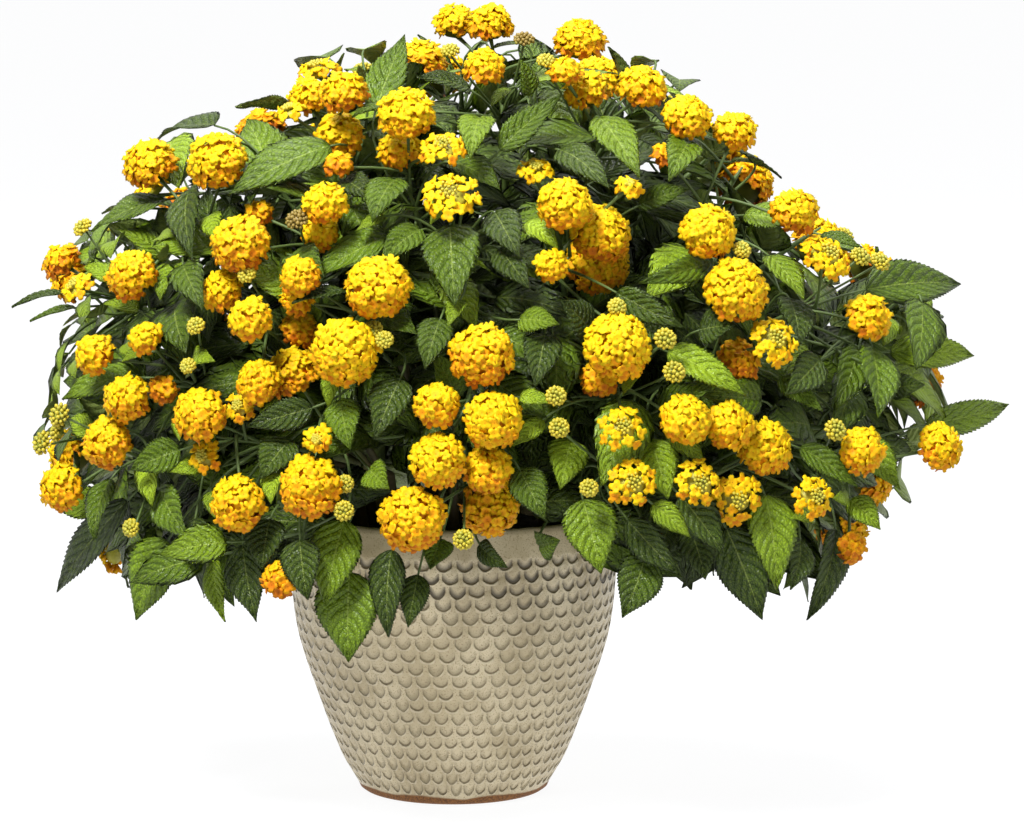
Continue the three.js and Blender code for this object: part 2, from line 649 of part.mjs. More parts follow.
// The main head's stalk comes from the shoot's tip, and the others branch off it near the hub.
function headsOf(spray, extra) {
  const [main, ...others] = spray.heads;
  const rise = towards(spray.hub, underside(main));
  const { stalk } = STEM;
  const path = [spray.hub, spray.foot ?? along(spray.hub, rise, -1)];
  const solids = [headSolid(main, path, [stalk, stalk, STEM.tip], extra)];
  others.forEach((head, k) => {
    const fork = along(spray.hub, rise, SPRAY.forkAt + SPRAY.forkStep * k);
    solids.push(headSolid(head, [fork], [stalk], extra));
  });
  return solids;
}

// Shoots without flowers, where the dome has no spray near.
function gatherBareShoots(sprays) {
  const shoots = [];
  for (let step = 0; step < COUNTS.bareTries; step += 1) {
    const hub = spiralPoint(step, COUNTS.bareTries, -0.3, 0.86);
    const lonely = [...sprays, ...shoots].every((other) => other.hub.distanceTo(hub) > SPRAY.bareReach);
    if (lonely) shoots.push({ heads: [], hub });
  }
  return shoots;
}

// ---- Limbs: what stands in one hole of the soil, and forks into the shoots that bear sprays ---------

function gatherLimbs(sprays) {
  for (const spray of sprays) {
    const level = domeNormal(spray.hub).z;
    spray.crown = level > CROWN_LEVEL;
    spray.turn = Math.atan2(spray.hub.y, spray.hub.x - DOME.centre.x);
  }
  const limbs = [];
  for (const [crown, count] of [[true, LIMBS.crown], [false, LIMBS.side]]) {
    const members = sprays.filter((spray) => spray.crown === crown).sort((a, b) => a.turn - b.turn);
    for (let k = 0; k < count; k += 1) {
      const from = Math.round((members.length * k) / count);
      const to = Math.round((members.length * (k + 1)) / count);
      limbs.push({ crown, sprays: members.slice(from, to) });
    }
  }
  return limbs;
}

function planLimb(limb) {
  const middle = new THREE.Vector3();
  for (const spray of limb.sprays) middle.addScaledVector(spray.hub, 1 / limb.sprays.length);
  limb.sprays.sort((a, b) => a.hub.distanceTo(middle) - b.hub.distanceTo(middle));
  const outward = new THREE.Vector3(middle.x, middle.y, 0).normalize();
  const reach = limb.crown ? LIMBS.crownRadius : LIMBS.sideRadius;
  limb.foot = outward.clone().multiplyScalar(reach).setZ(SOIL.top - SOIL.holeDepth);
  limb.fork = outward.clone().multiplyScalar(reach * 1.12);
  limb.fork.setZ(limb.crown ? LIMBS.crownFork : LIMBS.sideFork);
}

// A shoot arches from where it starts to just short of a spray's foot.
function shootPath(start, spray, [rise, sideways]) {
  const { hub } = spray;
  const halfway = start.clone().lerp(hub, 0.5);
  const arch = hub.z > start.z ? 0.18 * (hub.z - start.z) : 22 + 0.5 * (start.z - hub.z);
  const beside = new THREE.Vector3().crossVectors(towards(start, hub), UP).normalize();
  const control = along(halfway, UP, arch + rise).addScaledVector(beside, sideways);
  const arrival = towards(control, hub);
  const end = along(hub, arrival, -SPRAY.stub - GAP);
  const curve = new THREE.QuadraticBezierCurve3(start, control, end);
  return { points: curve.getPoints(SHOOT.sections), foot: along(hub, arrival, -SPRAY.stub) };
}

// The limb's own stem, up from its hole, is one rod with its first shoot; the rest fork off that.
function stemOf(limb, path, first, extra) {
  if (!first) return rod(path.points, [0.7, 0.92, 0.85, 0.7].map((share) => share * STEM.fork), 3, extra);
  const points = [limb.foot, limb.foot.clone().setZ(SOIL.top + 8), ...path.points];
  const radii = [STEM.trunk, STEM.trunk, STEM.fork, 0.9 * STEM.fork, 0.8 * STEM.fork, STEM.tip];
  return rod(points, radii, 4, extra);
}

// How far a shoot is bent up and sideways to pass the others, in the order these are tried.
const BENDS = [
  [0, 0], [0, 22], [0, -22], [20, 0], [20, 30], [20, -30], [-20, 0], [45, 0], [45, 45], [45, -45],
  [0, 60], [0, -60], [-20, 45], [-20, -45], [70, 0], [0, 90], [0, -90], [40, 90], [40, -90],
];

// A head looks away from where its stalk comes from.
function lookAway(head, hub) {
  const away = towards(hub, head.centre);
  const least = head.centre.distanceTo(hub) < 2.6 * head.radius ? 0.94 : 0.5;
  while (away.dot(head.axis) < least) head.axis.addScaledVector(away, 0.25).normalize();
}

function growSprays(sprays) {
  const depths = [1, 0.8, 1.25, 0.65, 1.5, 1.8];
  for (const spray of sprays) {
    const lowest = Math.max(...spray.heads.map((head) => head.bottom));
    for (const share of depths) {
      spray.hub = hubOf(spray, (SPRAY.depth + (spray.heads.length > 1 ? 0 : lowest - 12)) * share);
      for (const head of spray.heads) lookAway(head, spray.hub);
      if (headsOf(spray, GAP).every((solid) => isClear(solid, () => false))) break;
    }
    for (const solid of headsOf(spray, 0)) keep(spray, 'head', solid);
  }
}

function growLimbs(limbs) {
  for (const limb of limbs) {
    planLimb(limb);
    limb.shoots = [];
    limb.places = [];
  }
  const most = Math.max(...limbs.map((limb) => limb.sprays.length));
  for (let turn = 0; turn < most; turn += 1) {
    for (const limb of limbs) {
      if (limb.sprays.length > turn) growShoot(limb, limb.sprays[turn]);
    }
  }
}

function growShoot(limb, spray) {
  const first = limb.shoots.length === 0;
  const [low, high] = first ? [limb.fork, limb.fork] : limb.shoots[0].points;
  const rise = SHOOT.forkAt + SHOOT.forkStep * (limb.shoots.length - 1);
  const start = first ? limb.fork : along(low, towards(low, high), rise);
  const mayTouch = (other) => other.owner === limb || other.owner === spray;
  const isFree = (path) => isClear(stemOf(limb, path, first, GAP), mayTouch)
    && isClear(rod([path.foot, spray.hub], [STEM.stalk, STEM.stalk], 3, GAP), mayTouch);
  const paths = BENDS.map((bend) => shootPath(start, spray, bend));
  const path = paths.find(isFree) ?? paths[0];
  spray.foot = path.foot;
  const shoot = { points: path.points };
  limb.shoots.push(shoot);
  keep(limb, 'stem', stemOf(limb, path, first, 0));
  limb.places.push(...placesOn(limb, shoot));
  if (spray.heads.length === 0) return;
  const main = placed.find((piece) => piece.owner === spray);
  [main.solid] = headsOf(spray, 0);
  main.box = boxOf(main.solid);
}

// ---- Leaves and buds, each on the nearest shoot -----------------------------------------------------

// A shoot has places for leaves and buds at even steps along it; each holds one.
function placesOn(limb, shoot) {
  const { points } = shoot;
  const places = [];
  for (let k = 0; k + 1 < points.length; k += 1) {
    const ahead = towards(points[k], points[k + 1]);
    const length = points[k].distanceTo(points[k + 1]);
    const count = Math.floor(length / LEAF.spacing);
    for (let i = 0; i < count; i += 1) {
      const point = along(points[k], ahead, ((i + 0.5) * length) / count);
      places.push({ limb, shoot, ahead, point, taken: false });
    }
  }
  return places.slice(1, -1);
}

// The free place that holds what begins at a point and goes on ahead, near it and behind it.
function holdFor(limbs, point, ahead) {
  let best = null;
  for (const limb of limbs) {
    for (const place of limb.places) {
      if (place.taken) continue;
      const distance = place.point.distanceTo(point);
      const cost = distance * (1.7 - towards(place.point, point).dot(ahead));
      if (!best || cost < best.cost) best = { cost, place };
    }
  }
  return best.place;
}

function makeLeaf(place, { base, tip, width, up, droop, fold, detail = 'plain' }) {
  const chord = towards(base, tip);
  const lifted = across(up, chord);
  const side = new THREE.Vector3().crossVectors(chord, lifted).normalize();
  const ahead = chord.clone().multiplyScalar(Math.cos(droop / 2));
  ahead.addScaledVector(lifted, Math.sin(droop / 2));
  const upright = new THREE.Vector3().crossVectors(side, ahead);
  const length = (base.distanceTo(tip) * (droop / 2)) / Math.sin(droop / 2);
  const blade = { base, tip, ahead, up: upright, side, length, width, droop, fold, detail };
  return { ...blade, place, root: place.point, limb: place.limb };
}

// True where a leaf would hide a flower head, from the drawing's eye or from right above the head.
function hidesHead(leaf, heads) {
  const spots = [[0.3, -0.7], [0.3, 0.7], [0.55, 0], [0.75, -0.4], [0.75, 0.4], [1, 0]]
    .map(([t, s]) => bladePoint(leaf, t, s));
  return heads.some((head) => spots.some((spot) => {
    const rise = spot.clone().sub(head.centre).dot(head.axis);
    const away = spot.clone().sub(head.centre).addScaledVector(head.axis, -rise).length();
    if (rise > 0.2 * head.top && rise < HEAD_ROOM.above && away < 0.85 * head.radius) return true;
    if (head.rear) return false;
    const sight = towards(EYE, spot);
    const near = head.centre.clone().sub(EYE);
    const ahead = near.dot(sight);
    const beside = near.addScaledVector(sight, -ahead).length();
    return beside < 0.82 * head.radius && spot.distanceTo(EYE) < ahead;
  }));
}

const middleOf = (leaf) => bladePoint(leaf, 0.5, 0);
const isNear = (leaf, leaves, distance) => {
  const middle = middleOf(leaf);
  return leaves.some((other) => middleOf(other).distanceTo(middle) < distance);
};

function leafIsClear(leaf) {
  if (towards(leaf.root, leaf.base).dot(leaf.ahead) < -0.2) return false;
  const own = (other) => other.owner === leaf.limb;
  const stem = (other) => other.kind === 'stem';
  return isClear(leafSolid(leaf, { petiole: false }), (other) => !own(other) || !stem(other))
    && isClear(leafSolid(leaf), (other) => !own(other) || stem(other))
    && isClear(leafSolid(leaf, { extra: LEAF.clearance }), own);
}

function keepLeaf(leaf, leaves) {
  leaves.push(leaf);
  leaf.place.taken = true;
  keep(leaf.limb, 'leaf', leafSolid(leaf));
}

function growFrontLeaves(limbs, leaves) {
  const draw = seeded(23);
  FRONT_LEAVES.forEach(([fromAcross, fromDown, toAcross, toDown, width, roll]) => {
    const droop = between(draw, 0.25, 0.7);
    const fold = between(draw, 0.12, 0.28);
    for (const shrink of [1, 0.86, 0.72]) {
      for (const shift of [0, -0.03, 0.03, -0.06, 0.06, -0.1, 0.1, -0.14]) {
        const base = onDome(fromAcross, fromDown, 0.92 + shift);
        const full = onDome(toAcross, toDown, 1.0 + shift * 0.8);
        const tip = base.clone().lerp(full, shrink);
        const middle = base.clone().lerp(tip, 0.5);
        const up = across(along(domeNormal(middle), UP, 0.25), towards(base, tip));
        up.applyAxisAngle(towards(base, tip), roll);
        const wide = realSize(width, middle) * shrink;
        const detail = width < 46 ? 'plain' : 'fine';
        const place = holdFor(limbs, base, towards(base, tip));
        const leaf = makeLeaf(place, { base, tip, width: wide, up, droop, fold, detail });
        if (leafIsClear(leaf)) {
          keepLeaf(leaf, leaves);
          return;
        }
      }
    }
  });
}

// How far down a shoot, from its tip, each pair of leaves is.
const WHORLS = [14, 34, 58, 86, 118];

// Pairs of leaves down each shoot, each pair turned a quarter from the one above it.
function growPairedLeaves(limbs, heads, leaves) {
  const draw = seeded(37);
  WHORLS.forEach((down, order) => {
    for (const limb of limbs) {
      for (const shoot of limb.shoots) {
        const quarter = ((order % 2) * Math.PI) / 2 + between(draw, -0.4, 0.4);
        for (const half of [0, Math.PI]) {
          const looks = {
            length: between(draw, 54, 84) * (order === 0 ? 0.8 : 1),
            slim: between(draw, 0.56, 0.68),
            droop: between(draw, 0.35, 0.9),
            fold: between(draw, 0.1, 0.3),
          };
          const turns = [0, 0.5, -0.5, 1, -1].map((shift) => quarter + half + shift);
          growFromShoot(limb, shoot, down + (half > 0 ? 6 : 0), turns, looks, heads, leaves);
        }
      }
    }
  });
}

// One leaf, down a shoot from its tip, in the first of its turns round the shoot that is clear.
function growFromShoot(limb, shoot, down, turns, looks, heads, leaves) {
  if (leaves.length >= COUNTS.pairedLeaves) return;
  const end = shoot.points[shoot.points.length - 1];
  const off = (place) => Math.abs(place.point.distanceTo(end) - down);
  const free = limb.places.filter((place) => place.shoot === shoot && !place.taken);
  const place = free.sort((a, b) => off(a) - off(b))[0];
  if (!place || off(place) > LEAF.offWhorl) return;
  const first = across(Math.abs(place.ahead.z) < 0.9 ? UP : new THREE.Vector3(1, 0, 0), place.ahead);
  const second = new THREE.Vector3().crossVectors(place.ahead, first);
  const normal = domeNormal(place.point);
  for (const scale of [1, 0.8]) {
    for (const turn of turns) {
      const ahead = place.ahead.clone().multiplyScalar(0.45)
        .addScaledVector(first, Math.cos(turn)).addScaledVector(second, Math.sin(turn))
        .addScaledVector(normal, 0.35).normalize();
      const base = along(place.point, ahead, LEAF.petiole);
      const tip = along(base, along(ahead, UP, -0.15).normalize(), looks.length * scale);
      const width = looks.length * scale * looks.slim;
      const up = along(normal, UP, 0.6);
      const leaf = makeLeaf(place, { base, tip, width, up, ...looks });
      const depth = domeDepth(tip);
      if (depth > OUTERMOST || depth < 0.6 || tip.z < LEAF.lowest) continue;
      if (pastOutline(tip) > LEAF.pastOutline) continue;
      if (isNear(leaf, leaves, LEAF.crowded) || hidesHead(leaf, heads) || !leafIsClear(leaf)) continue;
      keepLeaf(leaf, leaves);
      return;
    }
  }
}

// Leaves on longer twigs, wherever the dome is still bare.
function growFillingLeaves(limbs, heads, leaves) {
  const draw = seeded(41);
  const steps = COUNTS.fillingTries;
  for (let turn = 0; turn < steps && leaves.length < COUNTS.leaves; turn += 1) {
    const step = (turn * 377) % steps;
    const base = spiralPoint(step, steps, -0.62, between(draw, 0.84, 0.95));
    const normal = domeNormal(base);
    const outward = new THREE.Vector3(base.x, base.y, 0).normalize();
    const sideways = new THREE.Vector3().crossVectors(normal, UP).normalize();
    const length = between(draw, 56, 84);
    const ahead = outward.multiplyScalar(0.75)
      .addScaledVector(normal, between(draw, 0.05, 0.4))
      .addScaledVector(UP, -between(draw, 0.05, 0.6))
      .addScaledVector(sideways, between(draw, -1, 1))
      .normalize();
    const tip = along(base, ahead, length);
    const up = along(normal, UP, 0.5);
    const droop = between(draw, 0.35, 0.9);
    const fold = between(draw, 0.1, 0.3);
    const width = length * LEAF.widthToLength * between(draw, 0.9, 1.12);
    const depth = domeDepth(tip);
    if (depth > OUTERMOST || depth < 0.8 || pastOutline(tip) > LEAF.pastOutline) continue;
    const place = holdFor(limbs, base, ahead);
    const leaf = makeLeaf(place, { base, tip, width, up, droop, fold });
    if (leaf.root.distanceTo(base) > LEAF.longestTwig || isNear(leaf, leaves, LEAF.bare)) continue;
    if (hidesHead(leaf, heads) || !leafIsClear(leaf)) continue;
    keepLeaf(leaf, leaves);
  }
}

// Buds on thin stalks, from the shoots near them.
function growBuds(limbs) {
  const draw = seeded(53);
  const wanted = BUDS.map(([placeAcross, placeDown, width]) => {
    const centre = onDome(placeAcross, placeDown, 1.01);
    return { centre, radius: realSize(width, centre) / 2 };
  });
  for (let step = 0; step < COUNTS.rearBuds; step += 1) {
    const centre = spiralPoint(step, COUNTS.rearBuds, -0.3, 1.0);
    const radius = between(draw, 6.5, 8.5);
    pullIn(centre, radius);
    if (domeNormal(centre).dot(towards(centre, EYE)) < 0) wanted.push({ centre, radius });
  }
  for (const { centre, radius } of wanted) {
    for (const shift of [0, 6, -6, 12, -12, 18]) {
      const bud = makeHead('bud', along(centre, domeNormal(centre), shift), radius, false);
      const hold = holdFor(limbs, underside(bud), bud.axis);
      const own = (other) => other.owner === hold.limb;
      const radii = [STEM.budStalk];
      const clear = isClear(headSolid(bud, [hold.point], radii, GAP), own)
        && isClear(headSolid(bud, [hold.point], radii), (other) => !own(other) || other.kind === 'stem');
      if (!clear) continue;
      keep(hold.limb, 'bud', headSolid(bud, [hold.point], radii));
      hold.taken = true;
      break;
    }
  }
}

// ---- The whole ------------------------------------------------------------------------------------

const heads = frontHeads();
rearHeads(heads);
const sprays = gatherSprays(heads);
growSprays(sprays);
const pot = makePot();
keep('pot', 'pot', pot);
const bareShoots = gatherBareShoots(sprays);
const limbs = gatherLimbs([...sprays, ...bareShoots]);
growLimbs(limbs);
growBuds(limbs);
const leaves = [];
growFrontLeaves(limbs, leaves);
growPairedLeaves(limbs, heads, leaves);
growFillingLeaves(limbs, heads, leaves);
const soil = makeSoil(limbs.map((limb) => limb.foot));

const group = new THREE.Group();
group.add(meshOf('pot', pot, COLOURS.glaze, 0.3));
group.add(meshOf('soil', soil, COLOURS.soil, 0.95));
const ownedBy = (owner) => placed.filter((piece) => piece.owner === owner).map((piece) => piece.solid);
limbs.forEach((limb, k) => {
  const name = `leafy_stem_${String(k + 1).padStart(2, '0')}`;
  group.add(meshOf(name, fuse(ownedBy(limb)), COLOURS.leaf, 0.55));
});
sprays.forEach((spray, k) => {
  const name = `flower_spray_${String(k + 1).padStart(2, '0')}`;
  group.add(meshOf(name, fuse(ownedBy(spray)), COLOURS.flower, 0.6));
});

export default group;
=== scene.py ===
# %% [markdown]
# # A bedding lantana in its glazed pot
#
# The real thing is a dome of toothed, quilted leaves, studded with round heads of small yellow
# flowers, over a stoneware pot with rows of pressed scallops. The CAD frame holds the plant in
# coarse solids. This script grows the same plant again by the same rules, so that each fine leaf
# and flower head is where its coarse one is, and dresses the pot and the soil.

# %% The frame
import math
from types import SimpleNamespace as Thing

import bmesh
import bpy
import numpy as np
from mathutils import Matrix, Vector
from mathutils.bvhtree import BVHTree


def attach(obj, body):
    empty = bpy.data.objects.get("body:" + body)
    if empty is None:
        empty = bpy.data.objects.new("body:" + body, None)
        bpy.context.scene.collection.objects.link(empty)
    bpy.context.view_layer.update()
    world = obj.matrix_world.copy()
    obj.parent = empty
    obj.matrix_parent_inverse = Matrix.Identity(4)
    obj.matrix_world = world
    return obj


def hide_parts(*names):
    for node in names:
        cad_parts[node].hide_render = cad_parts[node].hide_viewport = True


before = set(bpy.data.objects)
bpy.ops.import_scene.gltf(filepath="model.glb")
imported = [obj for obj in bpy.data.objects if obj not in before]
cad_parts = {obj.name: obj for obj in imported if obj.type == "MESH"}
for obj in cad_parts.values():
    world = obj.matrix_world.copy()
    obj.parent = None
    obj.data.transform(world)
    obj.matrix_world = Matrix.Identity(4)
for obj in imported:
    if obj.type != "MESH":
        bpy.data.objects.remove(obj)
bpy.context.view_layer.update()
print("CAD nodes:", len(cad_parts))

# %% [markdown]
# ## Camera first
#
# The plant is seen from its front, a little from above, with a long lens, so that its near and far
# leaves keep nearly the same size. The sheet is a drawing of 1024 by 828 units that fills the
# camera's view, on which the front's flowers and leaves are given below. All lengths are
# millimetres until a mesh is finished.

# %% Camera
MM = 0.001
EYE = Vector((44, -2700, 600))
AIM = Vector((44, 0, 283))
SHEET_ACROSS, SHEET_DOWN, SHEET_FOCUS = 512, 414, 3625
SENSOR_MM = 36

camera = bpy.data.objects.new("camera", bpy.data.cameras.new("camera"))
bpy.context.scene.collection.objects.link(camera)
camera.location = EYE * MM
camera.rotation_euler = (AIM - EYE).to_track_quat("-Z", "Y").to_euler()
camera.data.sensor_width = SENSOR_MM
camera.data.lens = SENSOR_MM * SHEET_FOCUS / (2 * SHEET_ACROSS)
camera.data.clip_end = 100
bpy.context.scene.camera = camera
print("lens, mm:", round(camera.data.lens, 1))

# %% [markdown]
# ## Small tools
#
# A seeded draw gives the same plant at every run. It is written out, because the CAD model draws
# its numbers in this way too. The rest are short names for steps along and between directions,
# which nearly every line below needs.

# %% A seeded draw
def seeded(seed):
    """Random numbers from 0 to 1, the same ones each time."""
    state = seed

    def draw():
        nonlocal state
        state = (state + 0x6D2B79F5) & 0xFFFFFFFF
        mixed = ((state ^ (state >> 15)) * (state | 1)) & 0xFFFFFFFF
        mixed ^= (mixed + (((mixed ^ (mixed >> 7)) * (mixed | 61)) & 0xFFFFFFFF)) & 0xFFFFFFFF
        return ((mixed ^ (mixed >> 14)) & 0xFFFFFFFF) / 4294967296

    return draw


def between(draw, low, high):
    return low + (high - low) * draw()


print("the first draw of seed 11:", round(seeded(11)(), 4))

# %% Directions
UP = Vector((0, 0, 1))


def towards(start, end):
    return (end - start).normalized()


def across(vector, axis):
    """The part of a vector that is square to an axis, at length 1."""
    return (vector - axis * vector.dot(axis)).normalized()


def not_along(axis, limit=0.9):
    """A direction that is never nearly the same as the axis."""
    return UP if abs(axis.z) < limit else Vector((1, 0, 0))


def middle_of(points):
    return sum(points, Vector()) / len(points)


def number_of(k):
    """The two digits at the end of the name of node k."""
    return f"{k + 1:02d}"

# %% [markdown]
# ## Coarse solids, to keep things from crossing
#
# A leaf or shoot is only grown where it crosses nothing. As in the CAD model, that is tested with
# coarse solids: a stem is a rod with a few sides, a head a studded ball on its stalk, and a leaf a
# folded blade. A search tree of their faces tells quickly whether two of them cross. Each can be
# made a little thicker all over, to keep a gap.

# %% Rods
STEM = Thing(trunk=4.6, fork=3.4, tip=2.1, stalk=1.8, bud_stalk=1.25, petiole=2.2, sunk=0.9)
GAP = 0.3


def solid_of(points, faces):
    spots = np.array(points)
    tree = BVHTree.FromPolygons(points, faces)
    return Thing(tree=tree, low=spots.min(axis=0), high=spots.max(axis=0))


def ring(point, ahead, first, radius, sides):
    """Points round a stem that runs ahead, from a first direction on."""
    second = ahead.cross(first)
    turns = [2 * math.pi * k / sides for k in range(sides)]
    return [point + (first * math.cos(turn) + second * math.sin(turn)) * radius for turn in turns]


def ring_faces(start, rings, sides):
    """Triangles between rings that follow one another, from point number start on."""
    faces = []
    for i in range(rings - 1):
        for k in range(sides):
            a, b = start + i * sides + k, start + i * sides + (k + 1) % sides
            faces += [(a, b, b + sides), (a, b + sides, a + sides)]
    return faces


def rod(points, radii, sides=3, extra=0.0):
    first = not_along(towards(points[0], points[1]), 0.8)
    corners = []
    for i, point in enumerate(points):
        ahead = towards(points[max(i - 1, 0)], points[min(i + 1, len(points) - 1)])
        first = across(first, ahead)
        corners += ring(point, ahead, first, radii[i] + extra, sides)
    faces = ring_faces(0, len(points), sides)
    last = (len(points) - 1) * sides
    for k in range(1, sides - 1):
        faces += [(0, k + 1, k), (last, last + k, last + k + 1)]
    return solid_of(corners, faces)


# %% [markdown]
# A head's ball is known by its centre, axis and radius, and by how far its top and bottom lie from
# the centre. Every other point of it is sunk, for a studded look.

# %% The ball of a head
def head_axes(head):
    side = across(not_along(head.axis), head.axis)
    return side, head.axis.cross(side)


def on_head(head, tilt, turn, reach):
    """A point on a head, tilted from its top and turned round its axis. At reach 1 it's outside."""
    side, other = head_axes(head)
    height = math.cos(tilt) * (head.top if tilt < math.pi / 2 else head.bottom) * reach
    width = math.sin(tilt) * head.radius * reach
    return head.centre + head.axis * height + (side * math.cos(turn) + other * math.sin(turn)) * width


def underside(head):
    return head.centre - head.axis * (0.85 * head.bottom)


def studded_ball(head, reach):
    """Points and faces of a head's ball, from its top down. It's open below its last ring."""
    points = [on_head(head, 0, 0, reach)]
    for j in range(head.rings):
        tilt = (j + 1) * math.pi / (head.rings + 1)
        for i in range(head.sectors):
            sunk = 1 if (i + j) % 2 == 0 else head.sunk
            points.append(on_head(head, tilt, 2 * math.pi * i / head.sectors, reach * sunk))
    faces = []
    for i in range(head.sectors):
        firsts = [1 + j * head.sectors for j in range(head.rings)]
        pairs = [(first + i, first + (i + 1) % head.sectors) for first in firsts]
        faces.append((0, *pairs[0]))
        faces += [(a, c, d, b) for (a, b), (c, d) in zip(pairs, pairs[1:])]
    return points, faces


# %% A head on its stalk
def stitch(left, right):
    """Triangles between two chains of (place along, point number)."""
    faces = []
    i = j = 0
    while i + 1 < len(left) or j + 1 < len(right):
        take_left = j + 1 >= len(right) or (i + 1 < len(left) and left[i + 1][0] < right[j + 1][0])
        third = left[i + 1][1] if take_left else right[j + 1][1]
        if len({left[i][1], third, right[j][1]}) == 3:
            faces.append((left[i][1], right[j][1], third))
        if take_left:
            i += 1
        else:
            j += 1
    return faces


def head_solid(head, path, radii, extra=0.0):
    """A head with its stalk, which ends in a point if it has a radius too few."""
    points, faces = studded_ball(head, 1 + 1.3 * extra / head.radius)
    stalk = [underside(head), *path]
    start = len(points)
    last_ring = start - head.sectors
    ball_end = [(i / head.sectors, last_ring + i % head.sectors) for i in range(head.sectors + 1)]
    faces += stitch(ball_end, [(k / 3, start + k % 3) for k in range(4)])
    beside, _ = head_axes(head)
    for k, radius in enumerate(radii):
        ahead = head.axis if k == 0 else towards(stalk[k], stalk[k - 1])
        beside = across(beside, ahead)
        points += ring(stalk[k], ahead, beside, radius + extra, 3)
    faces += ring_faces(start, len(radii), 3)
    end = len(points) - 3
    if len(radii) < len(stalk):
        points.append(stalk[1] + towards(stalk[0], stalk[1]) * (0.4 * STEM.sunk))
        faces += [(end + i, end + 3, end + (i + 1) % 3) for i in range(3)]
    else:
        faces.append((end, end + 2, end + 1))
    return solid_of(points, faces)


# %% [markdown]
# A blade is egg-shaped with a drawn-out tip. It droops along a circle's arc and folds up on both
# sides of its rib. A place on it is given along the rib, t from 0 at the base to 1 at the tip, and
# across it, s from -1 to 1. The coarse leaf and the fine one below share these functions. The
# coarse leaf has few corners: its edges list each one's place along and its share of the width.

# %% The blade's form
def blade_width(t):
    return 1.04 * np.sin(np.pi * t ** 0.66) ** 0.85 * (1 - 0.35 * t ** 3)


def blade_lift(leaf, t):
    """The way up from the blade at t, square to its rib."""
    turn = leaf.droop * t
    return leaf.ahead * math.sin(turn) + leaf.up * math.cos(turn)


def blade_point(leaf, t, s, widen=1.0):
    turn = leaf.droop * t
    ahead = leaf.length * math.sin(turn) / leaf.droop
    fall = leaf.length * (1 - math.cos(turn)) / leaf.droop
    half = 0.5 * leaf.width * float(blade_width(t)) * widen * s
    point = leaf.base + leaf.ahead * ahead - leaf.up * fall + leaf.side * half
    return point + blade_lift(leaf, t) * (abs(half) * leaf.fold)


# %% The coarse leaf
LEAF_THICKNESS = 2.0
EDGES = {
    "fine": [(0.08, 0.95), (0.32, 1.06), (0.39, 0.88), (0.62, 1.12), (0.7, 0.86)],
    "plain": [(0.1, 0.95), (0.42, 1.08), (0.54, 0.84)],
}
RIBS = {"fine": [0, 0.34, 0.66], "plain": [0, 0.46]}


def leaf_solid(leaf, petiole=True, extra=0.0):
    """A blade, thick at its rib and sharp at its edge, with or without its own stalk."""
    thick = LEAF_THICKNESS / 2 + extra
    points = [blade_point(leaf, 1, 0) + leaf.ahead * extra]
    chains = []
    for sign in (-1, 1):
        chain = [(0, len(points))]
        points.append(leaf.base + leaf.side * (sign * (STEM.petiole + extra)))
        for t, widen in EDGES[leaf.detail]:
            chain.append((t, len(points)))
            points.append(blade_point(leaf, t, sign, widen) + leaf.side * (sign * extra))
        chains.append(chain + [(1, 0)])
    faces = []
    bases = []
    for face in (1, -1):
        bases.append(len(points))
        rib = []
        for t in RIBS[leaf.detail]:
            rib.append((t, len(points)))
            points.append(blade_point(leaf, t, 0) + blade_lift(leaf, t) * (face * thick))
        rib.append((1, 0))
        faces += stitch(rib, chains[0]) + stitch(rib, chains[1])
    left, right = chains[0][0][1], chains[1][0][1]
    top, bottom = bases
    faces.append((top, left, right))
    if petiole:
        root = len(points)
        points.append(leaf.root + towards(leaf.base, leaf.root) * STEM.sunk)
        faces += [(left, root, right), (right, root, bottom), (bottom, root, left)]
    else:
        faces.append((bottom, right, left))
    return solid_of(points, faces)

# %% [markdown]
# ## The dome
#
# Every head and leaf is placed on an ellipsoid, the dome, or at a share of its depth: 0 is its
# middle and 1 its surface. The sides that the drawing doesn't show are filled along a spiral by
# the golden angle, which spreads its points evenly.

# %% Places on the dome
DOME_CENTRE = Vector((35, 0, 278))
DOME_AXES = Vector((365, 270, 303))
GOLDEN_TURN = 2.399963


def shrunk(point):
    """A point in a space where the dome is a ball of radius 1."""
    return Vector([(point[k] - DOME_CENTRE[k]) / DOME_AXES[k] for k in range(3)])


def dome_normal(point):
    flat = shrunk(point)
    return Vector([flat[k] / DOME_AXES[k] for k in range(3)]).normalized()


def dome_depth(point):
    return shrunk(point).length


def spiral_point(step, steps, lowest, depth):
    """One of a number of points spread over the dome, down to a lowest level from 1 to -1."""
    level = 1 - (step + 0.5) / steps * (1 - lowest)
    turn = step * GOLDEN_TURN
    wide = math.sqrt(1 - level ** 2)
    spot = (wide * math.cos(turn), wide * math.sin(turn), level)
    return Vector([DOME_CENTRE[k] + spot[k] * DOME_AXES[k] * depth for k in range(3)])


# %% [markdown]
# A place on the sheet is carried along its line of sight to where that meets the dome. A size on
# the sheet becomes a real one by how far away it is.

# %% Lines of sight
forward = towards(EYE, AIM)
rightward = forward.cross(UP).normalized()
upward = rightward.cross(forward)


def on_dome(place_across, place_down, depth):
    sight = (forward * SHEET_FOCUS + rightward * (place_across - SHEET_ACROSS)
             + upward * (SHEET_DOWN - place_down)).normalized()
    start = shrunk(EYE)
    step = Vector([sight[k] / DOME_AXES[k] for k in range(3)])
    a, b, c = step.dot(step), start.dot(step), start.dot(start) - depth ** 2
    distance = (-b - math.sqrt(max(b * b - a * c, 0))) / a
    return EYE + sight * distance


def real_size(size, point):
    return size * (point - EYE).length / SHEET_FOCUS


print("one unit of the sheet at the dome, mm:", round(real_size(1, on_dome(512, 400, 1)), 3))

# %% [markdown]
# The plant's outline on the sheet is given by its reach from a middle, every 10 degrees. Nothing
# that is placed by chance may be seen outside it.

